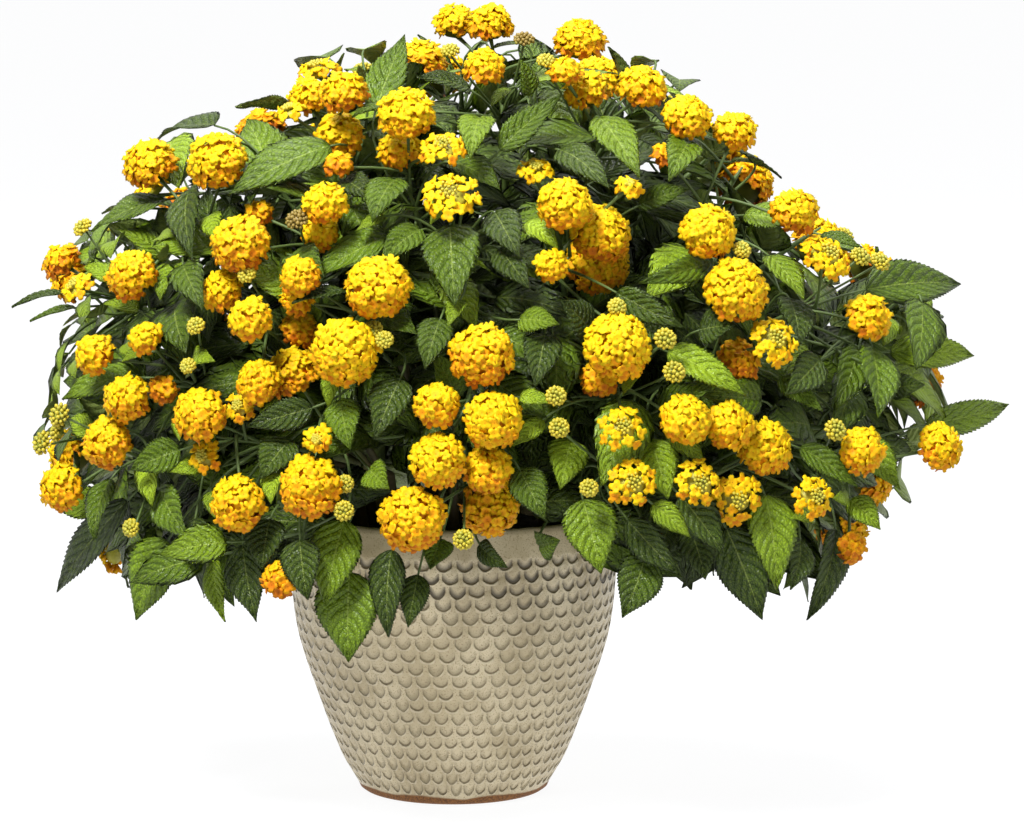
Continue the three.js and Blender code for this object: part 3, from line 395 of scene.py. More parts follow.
# %% The outline
OUTLINE_ACROSS, OUTLINE_DOWN = 500, 360
OUTLINE_REACHES = [
    440, 440, 372, 332, 336, 326, 325, 332, 328, 345, 348, 332, 345, 350, 368, 418, 425, 465, 440, 468,
    468, 445, 385, 325, 278, 256, 244, 240, 244, 256, 292, 310, 398, 408, 405, 470,
]
OUTLINE_STEPS = len(OUTLINE_REACHES)


def past_outline(point):
    """How far outside the drawn outline a point is seen, in mm."""
    seen = point - EYE
    scale = SHEET_FOCUS / seen.dot(forward)
    right = SHEET_ACROSS - OUTLINE_ACROSS + scale * seen.dot(rightward)
    up = OUTLINE_DOWN - SHEET_DOWN + scale * seen.dot(upward)
    turn = (math.atan2(up, right) / (2 * math.pi / OUTLINE_STEPS) + OUTLINE_STEPS) % OUTLINE_STEPS
    before = math.floor(turn)
    first, last = OUTLINE_REACHES[before], OUTLINE_REACHES[(before + 1) % OUTLINE_STEPS]
    return (math.hypot(right, up) - first - (last - first) * (turn - before)) / scale


PULLS, PULL_SHARE = 14, 0.03
MAY_STAND_OUT = 2


def pull_in(centre, radius):
    """Moves a ball towards the dome's middle until it is seen inside the outline."""
    for _ in range(PULLS):
        if past_outline(centre) + radius > MAY_STAND_OUT:
            centre = centre.lerp(DOME_CENTRE, PULL_SHARE)
    return centre


print("from the outline up to the sheet's end, mm:", round(past_outline(on_dome(OUTLINE_ACROSS, 0, 1)), 1))

# %% [markdown]
# ## Heads
#
# Open heads are nearly balls. Young ones are flat, with a ring of flowers round a cluster of buds.
# Old ones are small and orange. Unopened buds stand on thin stalks among the leaves. Each kind has
# its height above and below its centre as a share of its radius, and the points of its coarse ball.

# %% Kinds of heads
SHAPES = {
    "ball": dict(top=0.92, bottom=0.8, sunk=0.82, sectors=6, rings=3),
    "flat": dict(top=0.5, bottom=0.5, sunk=0.8, sectors=8, rings=2),
    "old": dict(top=0.85, bottom=0.7, sunk=0.78, sectors=6, rings=2),
    "bud": dict(top=0.7, bottom=0.6, sunk=0.8, sectors=6, rings=1),
}
LARGE_BALL, LARGE_BALL_SECTORS = 18, 8


def make_head(kind, centre, radius, rear):
    head = Thing(kind=kind, centre=centre, radius=radius, rear=rear, **SHAPES[kind])
    head.axis = (dome_normal(centre) + UP * 0.35).normalized()
    head.top *= radius
    head.bottom *= radius
    if kind == "ball" and radius > LARGE_BALL and not rear:
        head.sectors = LARGE_BALL_SECTORS
    return head


# %% [markdown]
# The front's heads are drawn on the sheet. Each has its place across and down, its width, and its
# depth where it isn't right on the dome. One that is drawn in front of another is moved away from
# the eye along its line of sight, until the two don't touch.

# %% The front's heads
BALLS = [
    (490, 25, 46), (455, 24, 44), (484, 68, 42), (580, 42, 52), (565, 72, 34), (587, 92, 48),
    (642, 88, 50), (687, 118, 50), (735, 132, 44), (310, 98, 46, 0.93), (345, 93, 48),
    (340, 135, 50, 0.95), (406, 115, 58), (400, 152, 48), (565, 205, 56), (600, 234, 62, 0.94),
    (597, 260, 70), (552, 266, 34, 0.98), (708, 232, 58), (736, 290, 65), (795, 212, 50),
    (868, 317, 48, 0.98), (617, 347, 68), (378, 287, 66), (300, 276, 42), (297, 298, 36, 0.95),
    (325, 204, 46), (320, 232, 38, 0.96), (240, 244, 60), (217, 162, 62), (150, 165, 55),
    (132, 275, 52), (222, 290, 44), (250, 319, 44), (145, 338, 34), (95, 355, 42), (127, 398, 48),
    (107, 443, 52), (62, 488, 48), (200, 415, 54), (258, 382, 46, 0.96), (294, 374, 58), (345, 352, 68),
    (482, 355, 64), (437, 405, 46), (438, 460, 56), (494, 420, 58), (488, 470, 50, 0.95),
    (490, 506, 62), (412, 519, 66), (310, 487, 62), (238, 503, 56), (686, 420, 52), (730, 426, 48),
    (765, 447, 56), (862, 450, 48), (940, 447, 48),
]
FLAT_HEADS = [
    (318, 72, 44), (290, 113, 34, 0.95), (443, 150, 48), (450, 198, 60), (535, 172, 40, 0.86),
    (628, 187, 28), (825, 258, 54), (773, 342, 52), (78, 288, 38), (240, 407, 34), (205, 457, 36),
    (622, 428, 46), (632, 483, 50), (698, 484, 50), (736, 498, 52), (812, 497, 46), (318, 440, 28),
]
OLD_HEADS = [
    (338, 165, 30, 0.95), (258, 213, 30, 0.92), (62, 262, 40), (163, 390, 30, 0.95),
    (300, 330, 40, 0.9), (600, 378, 40, 0.88), (738, 362, 46, 0.9), (280, 580, 38),
    (852, 548, 32, 0.96), (665, 155, 28, 0.95),
]
print("drawn heads:", len(BALLS), "round,", len(FLAT_HEADS), "flat,", len(OLD_HEADS), "old")

# %% Setting the front's heads
PUSHES, PUSH_MM = 40, 3


def push_apart(head, heads):
    sight = towards(EYE, head.centre)
    for _ in range(PUSHES):
        if all((other.centre - head.centre).length > other.radius + head.radius + 1 for other in heads):
            return
        head.centre = head.centre + sight * PUSH_MM


heads = []
for kind, table in (("ball", BALLS), ("flat", FLAT_HEADS), ("old", OLD_HEADS)):
    for place_across, place_down, width, *depth in table:
        centre = on_dome(place_across, place_down, depth[0] if depth else 1)
        head = make_head(kind, centre, real_size(width, centre) / 2, False)
        push_apart(head, heads)
        heads.append(head)
print("heads in front:", len(heads))

# %% Heads behind
REAR_KINDS = ["ball", "ball", "old", "ball", "flat", "ball", "ball", "flat", "ball", "old"]
REAR_TRIES = 66
REAR_LOWEST = -0.42
HEAD_SPACING = 16

draw = seeded(11)
for step in range(REAR_TRIES):
    centre = spiral_point(step, REAR_TRIES, REAR_LOWEST, between(draw, 0.95, 1.01))
    radius = between(draw, 17, 25)
    centre = pull_in(centre, radius)
    faces_eye = dome_normal(centre).dot(towards(centre, EYE)) > 0.02
    crowded = any((other.centre - centre).length < other.radius + radius + HEAD_SPACING for other in heads)
    if not faces_eye and not crowded:
        heads.append(make_head(REAR_KINDS[step % len(REAR_KINDS)], centre, radius, True))
print("heads:", len(heads))

# %% [markdown]
# What is placed is kept in one list. A new solid is clear if its tree crosses none of theirs, apart
# from those that it may touch, such as the shoot that it grows from.

# %% Keeping clear
placed = []


def keep(owner, kind, solid):
    placed.append(Thing(owner=owner, kind=kind, solid=solid))


def is_stem(other):
    return other.kind == "stem"


def owned_by(limb):
    """A test for whether something placed is this limb's own."""
    return lambda other: other.owner is limb


def is_clear(solid, may_touch):
    low, high = solid.low, solid.high
    for other in placed:
        there = other.solid
        if (high[0] < there.low[0] or there.high[0] < low[0] or high[1] < there.low[1]
                or there.high[1] < low[1] or high[2] < there.low[2] or there.high[2] < low[2]):
            continue
        if not may_touch(other) and solid.tree.overlap(there.tree):
            return False
    return True


# %% [markdown]
# ## Sprays
#
# Up to four neighbouring heads share a shoot. Their stalks meet at a hub inside the foliage, below
# the middle of the group. Where the stalks would cross something there, another depth is tried.

# %% Which heads share a spray
MOST_HEADS = 4
SPRAY_REACH = 118


def gather_sprays(heads):
    """Takes each head that is still free, and the nearest free ones around it."""
    free = list(heads)
    sprays = []
    for first in heads:
        if not any(first is head for head in free):
            continue
        free = [head for head in free if head is not first]
        group = [first]
        while len(group) < MOST_HEADS:
            near = [(max((one.centre - head.centre).length for one in group), k)
                    for k, head in enumerate(free)]
            near = [pair for pair in near if pair[0] < SPRAY_REACH]
            if not near:
                break
            group.append(free.pop(min(near)[1]))
        sprays.append(Thing(heads=group, hub=None, foot=None))
    return sprays


# %% Hubs and stalks
HUB_DEPTH = 40
HUB_SHARES = (1, 0.8, 1.25, 0.65, 1.5, 1.8)
STUB = 9
FIRST_FORK, NEXT_FORK = 4, 5
STRAIGHT_WHEN_CLOSE, STRAIGHT = 0.94, 0.5


def hub_of(spray, depth):
    outward = sum((dome_normal(head.centre) for head in spray.heads), Vector()).normalized()
    return middle_of([head.centre for head in spray.heads]) - outward * depth


def fork_of(spray, k):
    """Where the stalk of the spray's head number k leaves the first head's stalk."""
    rise = towards(spray.hub, underside(spray.heads[0]))
    return spray.hub + rise * (FIRST_FORK + NEXT_FORK * (k - 1))


def heads_of(spray, extra):
    main, *others = spray.heads
    foot = spray.foot or spray.hub - towards(spray.hub, underside(main))
    solids = [head_solid(main, [spray.hub, foot], [STEM.stalk, STEM.stalk, STEM.tip], extra)]
    for k, head in enumerate(others, 1):
        solids.append(head_solid(head, [fork_of(spray, k)], [STEM.stalk], extra))
    return solids


def look_away(head, hub):
    """Turns a head so that its stalk meets it from below."""
    away = towards(hub, head.centre)
    close = (head.centre - hub).length < 2.6 * head.radius
    while away.dot(head.axis) < (STRAIGHT_WHEN_CLOSE if close else STRAIGHT):
        head.axis = (head.axis + away * 0.25).normalized()


# %% Setting the sprays
sprays = gather_sprays(heads)
for spray in sprays:
    depth = HUB_DEPTH
    if len(spray.heads) == 1:
        depth += spray.heads[0].bottom - 12
    for share in HUB_SHARES:
        spray.hub = hub_of(spray, depth * share)
        for head in spray.heads:
            look_away(head, spray.hub)
        if all(is_clear(solid, lambda other: False) for solid in heads_of(spray, GAP)):
            break
    for solid in heads_of(spray, 0):
        keep(spray, "head", solid)
print("sprays:", len(sprays))

# %% [markdown]
# ## Limbs and shoots
#
# Twelve stems stand in the soil, three in the middle for the crown and nine round them. Each
# forks into arching shoots. A shoot bears a spray, or only leaves where the dome has no spray near.

# %% Shoots without flowers
BARE_TRIES = 150
BARE_SPACING = 76

pot_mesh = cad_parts["pot"].data
pot_points = [vertex.co / MM for vertex in pot_mesh.vertices]
keep("pot", "pot", solid_of(pot_points, [tuple(face.vertices) for face in pot_mesh.polygons]))

bare_shoots = []
for step in range(BARE_TRIES):
    hub = spiral_point(step, BARE_TRIES, -0.3, 0.86)
    if all((other.hub - hub).length > BARE_SPACING for other in sprays + bare_shoots):
        bare_shoots.append(Thing(heads=[], hub=hub, foot=None))
print("bare shoots:", len(bare_shoots))

# %% Twelve limbs
SOIL_TOP, HOLE_DEPTH = 193, 45
CROWN_LEVEL = 0.82
CROWN_LIMB = Thing(count=3, radius=30, fork=285)
SIDE_LIMB = Thing(count=9, radius=70, fork=246)
FORK_OUT = 1.12


def gather_limbs(tips):
    """Shares the shoots' tips among the limbs, by the way that they lie round the dome."""
    limbs = []
    for crown, sort in ((True, CROWN_LIMB), (False, SIDE_LIMB)):
        members = [tip for tip in tips if (dome_normal(tip.hub).z > CROWN_LEVEL) == crown]
        members.sort(key=lambda tip: math.atan2(tip.hub.y, tip.hub.x - DOME_CENTRE.x))
        for k in range(sort.count):
            start, end = (math.floor(len(members) * m / sort.count + 0.5) for m in (k, k + 1))
            limbs.append(Thing(sort=sort, tips=members[start:end], shoots=[], places=[]))
    return limbs


def plan_limb(limb):
    middle = middle_of([tip.hub for tip in limb.tips])
    limb.tips.sort(key=lambda tip: (tip.hub - middle).length)
    outward = Vector((middle.x, middle.y, 0)).normalized()
    limb.foot = outward * limb.sort.radius + UP * (SOIL_TOP - HOLE_DEPTH)
    limb.fork = outward * (limb.sort.radius * FORK_OUT) + UP * limb.sort.fork


limbs = gather_limbs(sprays + bare_shoots)
for limb in limbs:
    plan_limb(limb)
print("limbs:", len(limbs))

# %% [markdown]
# A shoot's path is a smooth arch from its limb's fork, or from a little up its limb's first shoot,
# to the foot of its spray. Where it would cross something, it is bent up or sideways, by the first
# of these pairs of millimetres that keeps it clear.

# %% The path of a shoot
BENDS = [
    (0, 0), (0, 22), (0, -22), (20, 0), (20, 30), (20, -30), (-20, 0), (45, 0), (45, 45), (45, -45),
    (0, 60), (0, -60), (-20, 45), (-20, -45), (70, 0), (0, 90), (0, -90), (40, 90), (40, -90),
]
SECTIONS = 3


def shoot_path(start, tip, bend):
    rise, sideways = bend
    lift = tip.hub.z - start.z
    arch = 0.18 * lift if lift > 0 else 22 - 0.5 * lift
    beside = towards(start, tip.hub).cross(UP).normalized()
    control = (start + tip.hub) / 2 + UP * (arch + rise) + beside * sideways
    arrival = towards(control, tip.hub)
    end = tip.hub - arrival * (STUB + GAP)

    def curve(t):
        return start * (1 - t) ** 2 + control * (2 * t * (1 - t)) + end * t ** 2

    points = [curve(k / SECTIONS) for k in range(SECTIONS + 1)]
    return Thing(points=points, foot=tip.hub - arrival * STUB, curve=curve)


def above_soil(limb):
    return Vector((limb.foot.x, limb.foot.y, SOIL_TOP + 8))


def stem_of(limb, path, first, extra):
    """The rod of a shoot. A limb's first shoot has the limb's stem below it."""
    if not first:
        return rod(path.points, [share * STEM.fork for share in (0.7, 0.92, 0.85, 0.7)], 3, extra)
    radii = [STEM.trunk, STEM.trunk, STEM.fork, 0.9 * STEM.fork, 0.8 * STEM.fork, STEM.tip]
    return rod([limb.foot, above_soil(limb), *path.points], radii, 4, extra)


# %% Places for leaves on a shoot
PLACE_SPACING = 7


def places_on(limb, shoot):
    """Places at even steps along a shoot, apart from its two ends. Each holds one leaf or bud."""
    places = []
    for low, high in zip(shoot.points, shoot.points[1:]):
        ahead, length = towards(low, high), (high - low).length
        count = int(length // PLACE_SPACING)
        for i in range(count):
            point = low + ahead * ((i + 0.5) * length / count)
            places.append(Thing(limb=limb, shoot=shoot, ahead=ahead, point=point, taken=False))
    return places[1:-1]


# %% Growing the shoots
FORK_AT, FORK_STEP = 10, 14


def start_of_shoot(limb):
    if not limb.shoots:
        return limb.fork
    low, high = limb.shoots[0].points[:2]
    return low + towards(low, high) * (FORK_AT + FORK_STEP * (len(limb.shoots) - 1))


def grow_shoot(limb, tip):
    first = not limb.shoots
    start = start_of_shoot(limb)

    def may_touch(other):
        return other.owner is limb or other.owner is tip

    def is_free(path):
        return (is_clear(stem_of(limb, path, first, GAP), may_touch)
                and is_clear(rod([path.foot, tip.hub], [STEM.stalk] * 2, 3, GAP), may_touch))

    paths = [shoot_path(start, tip, bend) for bend in BENDS]
    path = next((path for path in paths if is_free(path)), paths[0])
    tip.foot = path.foot
    shoot = Thing(points=path.points, curve=path.curve, first=first)
    limb.shoots.append(shoot)
    keep(limb, "stem", stem_of(limb, path, first, 0))
    limb.places += places_on(limb, shoot)
    if tip.heads:  # The spray's first stalk now comes down to this shoot's end.
        main = next(piece for piece in placed if piece.owner is tip)
        main.solid = heads_of(tip, 0)[0]


for turn in range(max(len(limb.tips) for limb in limbs)):
    for limb in limbs:
        if len(limb.tips) > turn:
            grow_shoot(limb, limb.tips[turn])
places = [place for limb in limbs for place in limb.places]
for number, place in enumerate(places):
    place.number = number
place_points = np.array([place.point for place in places])
place_free = np.ones(len(places), bool)
print("shoots:", sum(len(limb.shoots) for limb in limbs), "places for leaves:", len(places))

# %% [markdown]
# ## Buds and leaves on the shoots
#
# Each bud and leaf hangs on the free place that is near it and behind it. Buds come first. Then
# come the drawn leaves of the front, pairs of leaves down each shoot, and leaves on longer twigs
# wherever the dome is still bare.

# %% Holding on to a shoot
def take(place):
    place.taken = True
    place_free[place.number] = False


def hold_for(point, ahead, free=None):
    """The place with the least distance, where what lies behind the point counts as nearer."""
    steps = np.array(point) - place_points
    distance = np.linalg.norm(steps, axis=1)
    cost = distance * 1.7 - steps @ np.array(ahead)
    cost[~(place_free if free is None else free)] = np.inf
    return places[int(cost.argmin())]


# %% Where buds are wanted
BUDS = [
    (83, 228, 20), (102, 341, 20), (196, 326, 18), (188, 366, 16), (60, 415, 24), (43, 443, 24),
    (243, 272, 18), (297, 220, 22), (400, 302, 22), (369, 327, 20), (384, 340, 18), (450, 51, 18),
    (524, 40, 20), (546, 61, 18), (604, 54, 18), (722, 249, 18), (742, 250, 18), (617, 307, 18),
    (665, 339, 22), (674, 372, 22), (556, 396, 20), (559, 428, 20), (589, 488, 18), (464, 537, 20),
    (340, 487, 18), (344, 511, 20), (131, 528, 18), (835, 430, 22), (860, 257, 20), (880, 262, 20),
]
REAR_BUD_TRIES = 22

wanted = []
for place_across, place_down, width in BUDS:
    centre = on_dome(place_across, place_down, 1.01)
    wanted.append((centre, real_size(width, centre) / 2))
draw = seeded(53)
for step in range(REAR_BUD_TRIES):
    centre = spiral_point(step, REAR_BUD_TRIES, -0.3, 1.0)
    radius = between(draw, 6.5, 8.5)
    centre = pull_in(centre, radius)
    if dome_normal(centre).dot(towards(centre, EYE)) < 0:
        wanted.append((centre, radius))

# %% Setting the buds
BUD_SHIFTS = (0, 6, -6, 12, -12, 18)


def set_bud(centre, radius):
    for shift in BUD_SHIFTS:
        bud = make_head("bud", centre + dome_normal(centre) * shift, radius, False)
        hold = hold_for(underside(bud), bud.axis)
        own = owned_by(hold.limb)
        if not is_clear(head_solid(bud, [hold.point], [STEM.bud_stalk], GAP), own):
            continue
        slim = head_solid(bud, [hold.point], [STEM.bud_stalk])
        if is_clear(slim, lambda other: not own(other) or is_stem(other)):
            keep(hold.limb, "bud", slim)
            take(hold)
            bud.limb, bud.hold = hold.limb, hold.point
            buds.append(bud)
            return


buds = []
for centre, radius in wanted:
    set_bud(centre, radius)
print("buds:", len(buds))

# %% [markdown]
# A leaf is known by its base, its tip, its width, the way up, how far it droops and how sharply it
# folds. It must not hide a flower head, from the front or from right above the head. That is tested
# at a few spots of its blade, each along and across it.

# %% A leaf
def make_leaf(place, base, tip, width, up, droop, fold, detail="plain"):
    chord = towards(base, tip)
    lifted = across(up, chord)
    side = chord.cross(lifted).normalized()
    ahead = chord * math.cos(droop / 2) + lifted * math.sin(droop / 2)
    length = (tip - base).length * (droop / 2) / math.sin(droop / 2)
    return Thing(base=base, tip=tip, ahead=ahead, up=side.cross(ahead), side=side, length=length,
                 width=width, droop=droop, fold=fold, detail=detail,
                 place=place, root=place.point, limb=place.limb, drawn_age=[])


# %% Does a leaf hide a head?
SPOTS = [(0.3, -0.7), (0.3, 0.7), (0.55, 0), (0.75, -0.4), (0.75, 0.4), (1, 0)]
FAR_OFF = 160
ABOVE_HEAD = 55


def is_before(spot, head, share):
    """Whether a point is in front of a share of a head's width, seen from the eye."""
    sight = towards(EYE, spot)
    near = head.centre - EYE
    ahead = near.dot(sight)
    return (near - sight * ahead).length < share * head.radius and (spot - EYE).length < ahead


def is_over(spot, head):
    rise = (spot - head.centre).dot(head.axis)
    away = (spot - head.centre - head.axis * rise).length
    return 0.2 * head.top < rise < ABOVE_HEAD and away < 0.85 * head.radius


def hides_head(leaf, heads):
    spots = [blade_point(leaf, t, s) for t, s in SPOTS]
    for head in heads:
        if (head.centre - spots[2]).length > FAR_OFF and head.rear:
            continue
        for spot in spots:
            if is_over(spot, head) or (not head.rear and is_before(spot, head, 0.82)):
                return True
    return False


# %% Is a leaf clear?
CLEARANCE = 0.4

leaves = []
leaf_middles = []


def is_near(leaf, distance):
    middle = blade_point(leaf, 0.5, 0)
    return any((other - middle).length < distance for other in leaf_middles)


def leaf_is_clear(leaf):
    """A leaf keeps a gap to other limbs, and its blade crosses nothing of its own limb."""
    if towards(leaf.root, leaf.base).dot(leaf.ahead) < -0.2:
        return False
    own = owned_by(leaf.limb)
    return (is_clear(leaf_solid(leaf, petiole=False), lambda other: not own(other) or not is_stem(other))
            and is_clear(leaf_solid(leaf), lambda other: not own(other) or is_stem(other))
            and is_clear(leaf_solid(leaf, extra=CLEARANCE), own))


def add_leaf(leaf, solid):
    leaves.append(leaf)
    leaf_middles.append(blade_point(leaf, 0.5, 0))
    keep(leaf.limb, "leaf", solid)


def keep_leaf(leaf):
    add_leaf(leaf, leaf_solid(leaf))
    take(leaf.place)


# %% [markdown]
# The front's leaves are drawn on the sheet, each by its base and tip, its width and its roll. Some
# have an age from -1, old and dark, to 1, young and bright. The low ones near the pot that have -1
# are dark partly for their age and partly as painted shade. A leaf that isn't clear is tried nearer
# and further, and then a little smaller.

# %% The front's leaves
FRONT_LEAVES = [
    (375, 112, 405, 35, 42, 0.3), (290, 105, 236, 108, 18, 0.9), (330, 146, 228, 196, 60, -0.2),
    (392, 108, 352, 118, 24, 0), (450, 226, 455, 307, 60, 0, -0.5), (495, 213, 520, 258, 42, 0.2),
    (345, 292, 292, 304, 30, 0.5), (712, 262, 637, 284, 30, -0.5), (617, 293, 685, 328, 32, 0.7),
    (865, 290, 960, 285, 50, 0.1), (890, 352, 973, 356, 38, 0.2), (925, 425, 1008, 404, 34, 0.2),
    (872, 348, 878, 418, 54, 0), (822, 235, 862, 250, 24, 0.3), (745, 215, 806, 228, 44, 0.2),
    (780, 378, 823, 412, 26, 0.4), (668, 352, 745, 396, 38, 0), (800, 448, 858, 488, 32, 0),
    (765, 495, 776, 590, 54, 0.1, 0.3), (726, 528, 762, 620, 58, 0.1, -1),
    (835, 530, 806, 620, 44, 0, -1), (645, 556, 622, 618, 50, 0, -0.6),
    (628, 520, 680, 575, 38, 0.4, -1), (583, 500, 601, 574, 56, 0, 0.2), (480, 545, 508, 568, 26, 0.3),
    (545, 335, 535, 388, 40, 0), (345, 520, 326, 606, 56, 0.1, 0.2), (350, 572, 349, 662, 66, 0, 0.1),
    (392, 550, 389, 637, 42, 0.3, -1), (418, 575, 408, 628, 32, 0, -0.8),
    (312, 408, 245, 427, 34, -0.3), (168, 540, 137, 620, 60, 0, 0.1), (128, 500, 58, 592, 36, -0.3, -1),
    (214, 560, 226, 622, 34, 0.2, 0.5), (243, 545, 257, 622, 46, 0, -1), (62, 293, 12, 308, 24, -0.3),
    (75, 308, 30, 322, 22, -0.2), (190, 190, 194, 262, 42, 0.1), (165, 200, 92, 232, 50, -0.1),
    (500, 150, 562, 95, 34, 0.3), (470, 90, 416, 78, 34, -0.3), (530, 95, 520, 60, 30, 0),
    (600, 118, 640, 178, 44, 0.2), (560, 150, 610, 190, 40, 0.2), (690, 140, 668, 182, 40, 0),
    (640, 205, 690, 190, 34, 0.3), (755, 165, 722, 150, 30, 0), (480, 118, 470, 160, 40, 0),
    (395, 180, 372, 222, 46, 0), (345, 180, 372, 200, 34, 0), (420, 230, 380, 262, 38, -0.2),
    (500, 250, 530, 290, 36, 0.2), (270, 160, 250, 205, 40, 0), (120, 215, 92, 262, 40, 0),
    (180, 260, 160, 300, 40, 0), (660, 300, 640, 350, 40, 0), (790, 300, 800, 345, 44, 0),
    (700, 330, 735, 325, 40, 0.2), (820, 360, 785, 395, 40, 0), (860, 440, 900, 490, 40, 0.2),
    (890, 390, 925, 385, 30, 0.2), (760, 400, 700, 395, 40, -0.2), (590, 330, 560, 300, 40, 0),
    (520, 320, 560, 325, 34, 0), (440, 320, 425, 370, 40, 0), (400, 380, 375, 440, 44, 0),
    (340, 400, 350, 450, 40, 0), (290, 440, 260, 480, 44, 0), (180, 450, 130, 470, 38, -0.2),
    (160, 490, 190, 540, 44, 0), (110, 480, 95, 540, 44, 0), (570, 440, 560, 490, 44, 0),
    (520, 470, 545, 520, 40, 0), (650, 440, 668, 500, 44, 0), (600, 540, 590, 560, 30, 0),
    (670, 520, 655, 560, 40, 0, -1), (800, 540, 790, 590, 40, 0, -0.8), (690, 530, 705, 580, 42, 0, -1),
    (850, 500, 880, 530, 34, 0.1), (370, 470, 390, 490, 34, 0), (440, 540, 430, 570, 34, 0),
    (270, 520, 262, 570, 46, 0, -1), (300, 540, 308, 600, 44, 0, -0.8), (195, 520, 198, 570, 40, 0, -1),
    (540, 545, 560, 540, 34, 0),
]
print("drawn leaves:", len(FRONT_LEAVES))

# %% Growing the front's leaves
LEAF_SHIFTS = (0, -0.03, 0.03, -0.06, 0.06, -0.1, 0.1, -0.14)
LEAF_SHRINKS = (1, 0.86, 0.72)
LEAF_BASE_DEPTH, LEAF_TIP_DEPTH = 0.92, 1.0
FINE_WIDTH = 46


def grow_front_leaf(drawn, droop, fold):
    from_across, from_down, to_across, to_down, width, roll, *age = drawn
    for shrink in LEAF_SHRINKS:
        for shift in LEAF_SHIFTS:
            base = on_dome(from_across, from_down, LEAF_BASE_DEPTH + shift)
            full = on_dome(to_across, to_down, LEAF_TIP_DEPTH + shift * 0.8)
            tip = base.lerp(full, shrink)
            middle = (base + tip) / 2
            chord = towards(base, tip)
            up = across(dome_normal(middle) + UP * 0.25, chord)
            up.rotate(Matrix.Rotation(roll, 3, chord))
            wide = real_size(width, middle) * shrink
            detail = "plain" if width < FINE_WIDTH else "fine"
            leaf = make_leaf(hold_for(base, chord), base, tip, wide, up, droop, fold, detail)
            if leaf_is_clear(leaf):
                leaf.drawn_age = age
                keep_leaf(leaf)
                return


draw = seeded(23)
for drawn in FRONT_LEAVES:
    droop = between(draw, 0.25, 0.7)
    fold = between(draw, 0.12, 0.28)
    grow_front_leaf(drawn, droop, fold)
front_count = len(leaves)
print("front leaves:", front_count)

# %% [markdown]
# Lantana has its leaves in pairs, and each pair stands square to the next one down the shoot.

# %% A leaf from a shoot
WHORLS = [14, 34, 58, 86, 118]
OFF_WHORL = 12
PETIOLE = 15
OUTERMOST, PAST_OUTLINE = 1.07, 4
LEAF_SPACING = 30
LEAF_LOWEST = 95


def free_place(limb, shoot, down):
    """The free place that is nearest to a distance down from the shoot's end, if one is near."""
    end = shoot.points[-1]

    def off(place):
        return abs((place.point - end).length - down)

    free = [place for place in limb.places if place.shoot is shoot and not place.taken]
    place = min(free, key=off, default=None)
    return None if place is None or off(place) > OFF_WHORL else place


def grow_from_shoot(limb, shoot, down, turns, looks):
    place = free_place(limb, shoot, down)
    if place is None:
        return
    first = across(not_along(place.ahead), place.ahead)
    second = place.ahead.cross(first)
    normal = dome_normal(place.point)
    for scale, turn in [(scale, turn) for scale in (1, 0.8) for turn in turns]:
        ahead = (place.ahead * 0.45 + first * math.cos(turn) + second * math.sin(turn)
                 + normal * 0.35).normalized()
        base = place.point + ahead * PETIOLE
        long = looks.length * scale
        tip = base + (ahead - UP * 0.15).normalized() * long
        leaf = make_leaf(place, base, tip, long * looks.slim, normal + UP * 0.6, looks.droop, looks.fold)
        if not 0.6 <= dome_depth(tip) <= OUTERMOST or tip.z < LEAF_LOWEST:
            continue
        if past_outline(tip) > PAST_OUTLINE or is_near(leaf, LEAF_SPACING):
            continue
        if not hides_head(leaf, heads) and leaf_is_clear(leaf):
            keep_leaf(leaf)
            return


# %% Pairs of leaves down each shoot
MOST_PAIRED = 176

draw = seeded(37)
for order, down in enumerate(WHORLS):
    shorter = 0.8 if order == 0 else 1
    for shoot_limb, shoot in [(limb, shoot) for limb in limbs for shoot in limb.shoots]:
        quarter = (order % 2) * math.pi / 2 + between(draw, -0.4, 0.4)
        for half in (0, math.pi):
            looks = Thing(length=between(draw, 54, 84) * shorter, slim=between(draw, 0.56, 0.68),
                          droop=between(draw, 0.35, 0.9), fold=between(draw, 0.1, 0.3))
            turns = [quarter + half + shift for shift in (0, 0.5, -0.5, 1, -1)]
            if len(leaves) < MOST_PAIRED:
                grow_from_shoot(shoot_limb, shoot, down + (6 if half else 0), turns, looks)
print("with paired leaves:", len(leaves))

# %% Leaves where the dome is bare
FILLING_TRIES = 700
MOST_COARSE = 206
STRIDE = 377
BARE_MIDDLE = 44
LONGEST_TWIG = 90
WIDTH_TO_LENGTH = 0.6

draw = seeded(41)
for turn in range(FILLING_TRIES):
    if len(leaves) >= MOST_COARSE:
        break
    base = spiral_point(turn * STRIDE % FILLING_TRIES, FILLING_TRIES, -0.62, between(draw, 0.84, 0.95))
    normal = dome_normal(base)
    outward = Vector((base.x, base.y, 0)).normalized()
    sideways = normal.cross(UP).normalized()
    length = between(draw, 56, 84)
    ahead = outward * 0.75 + normal * between(draw, 0.05, 0.4)
    ahead = ahead - UP * between(draw, 0.05, 0.6)
    ahead = (ahead + sideways * between(draw, -1, 1)).normalized()
    tip = base + ahead * length
    droop = between(draw, 0.35, 0.9)
    fold = between(draw, 0.1, 0.3)
    width = length * WIDTH_TO_LENGTH * between(draw, 0.9, 1.12)
    if not 0.8 <= dome_depth(tip) <= OUTERMOST or past_outline(tip) > PAST_OUTLINE:
        continue
    leaf = make_leaf(hold_for(base, ahead), base, tip, width, normal + UP * 0.5, droop, fold)
    if (leaf.root - base).length > LONGEST_TWIG or is_near(leaf, BARE_MIDDLE):
        continue
    if not hides_head(leaf, heads) and leaf_is_clear(leaf):
        keep_leaf(leaf)
print("coarse leaves:", len(leaves))
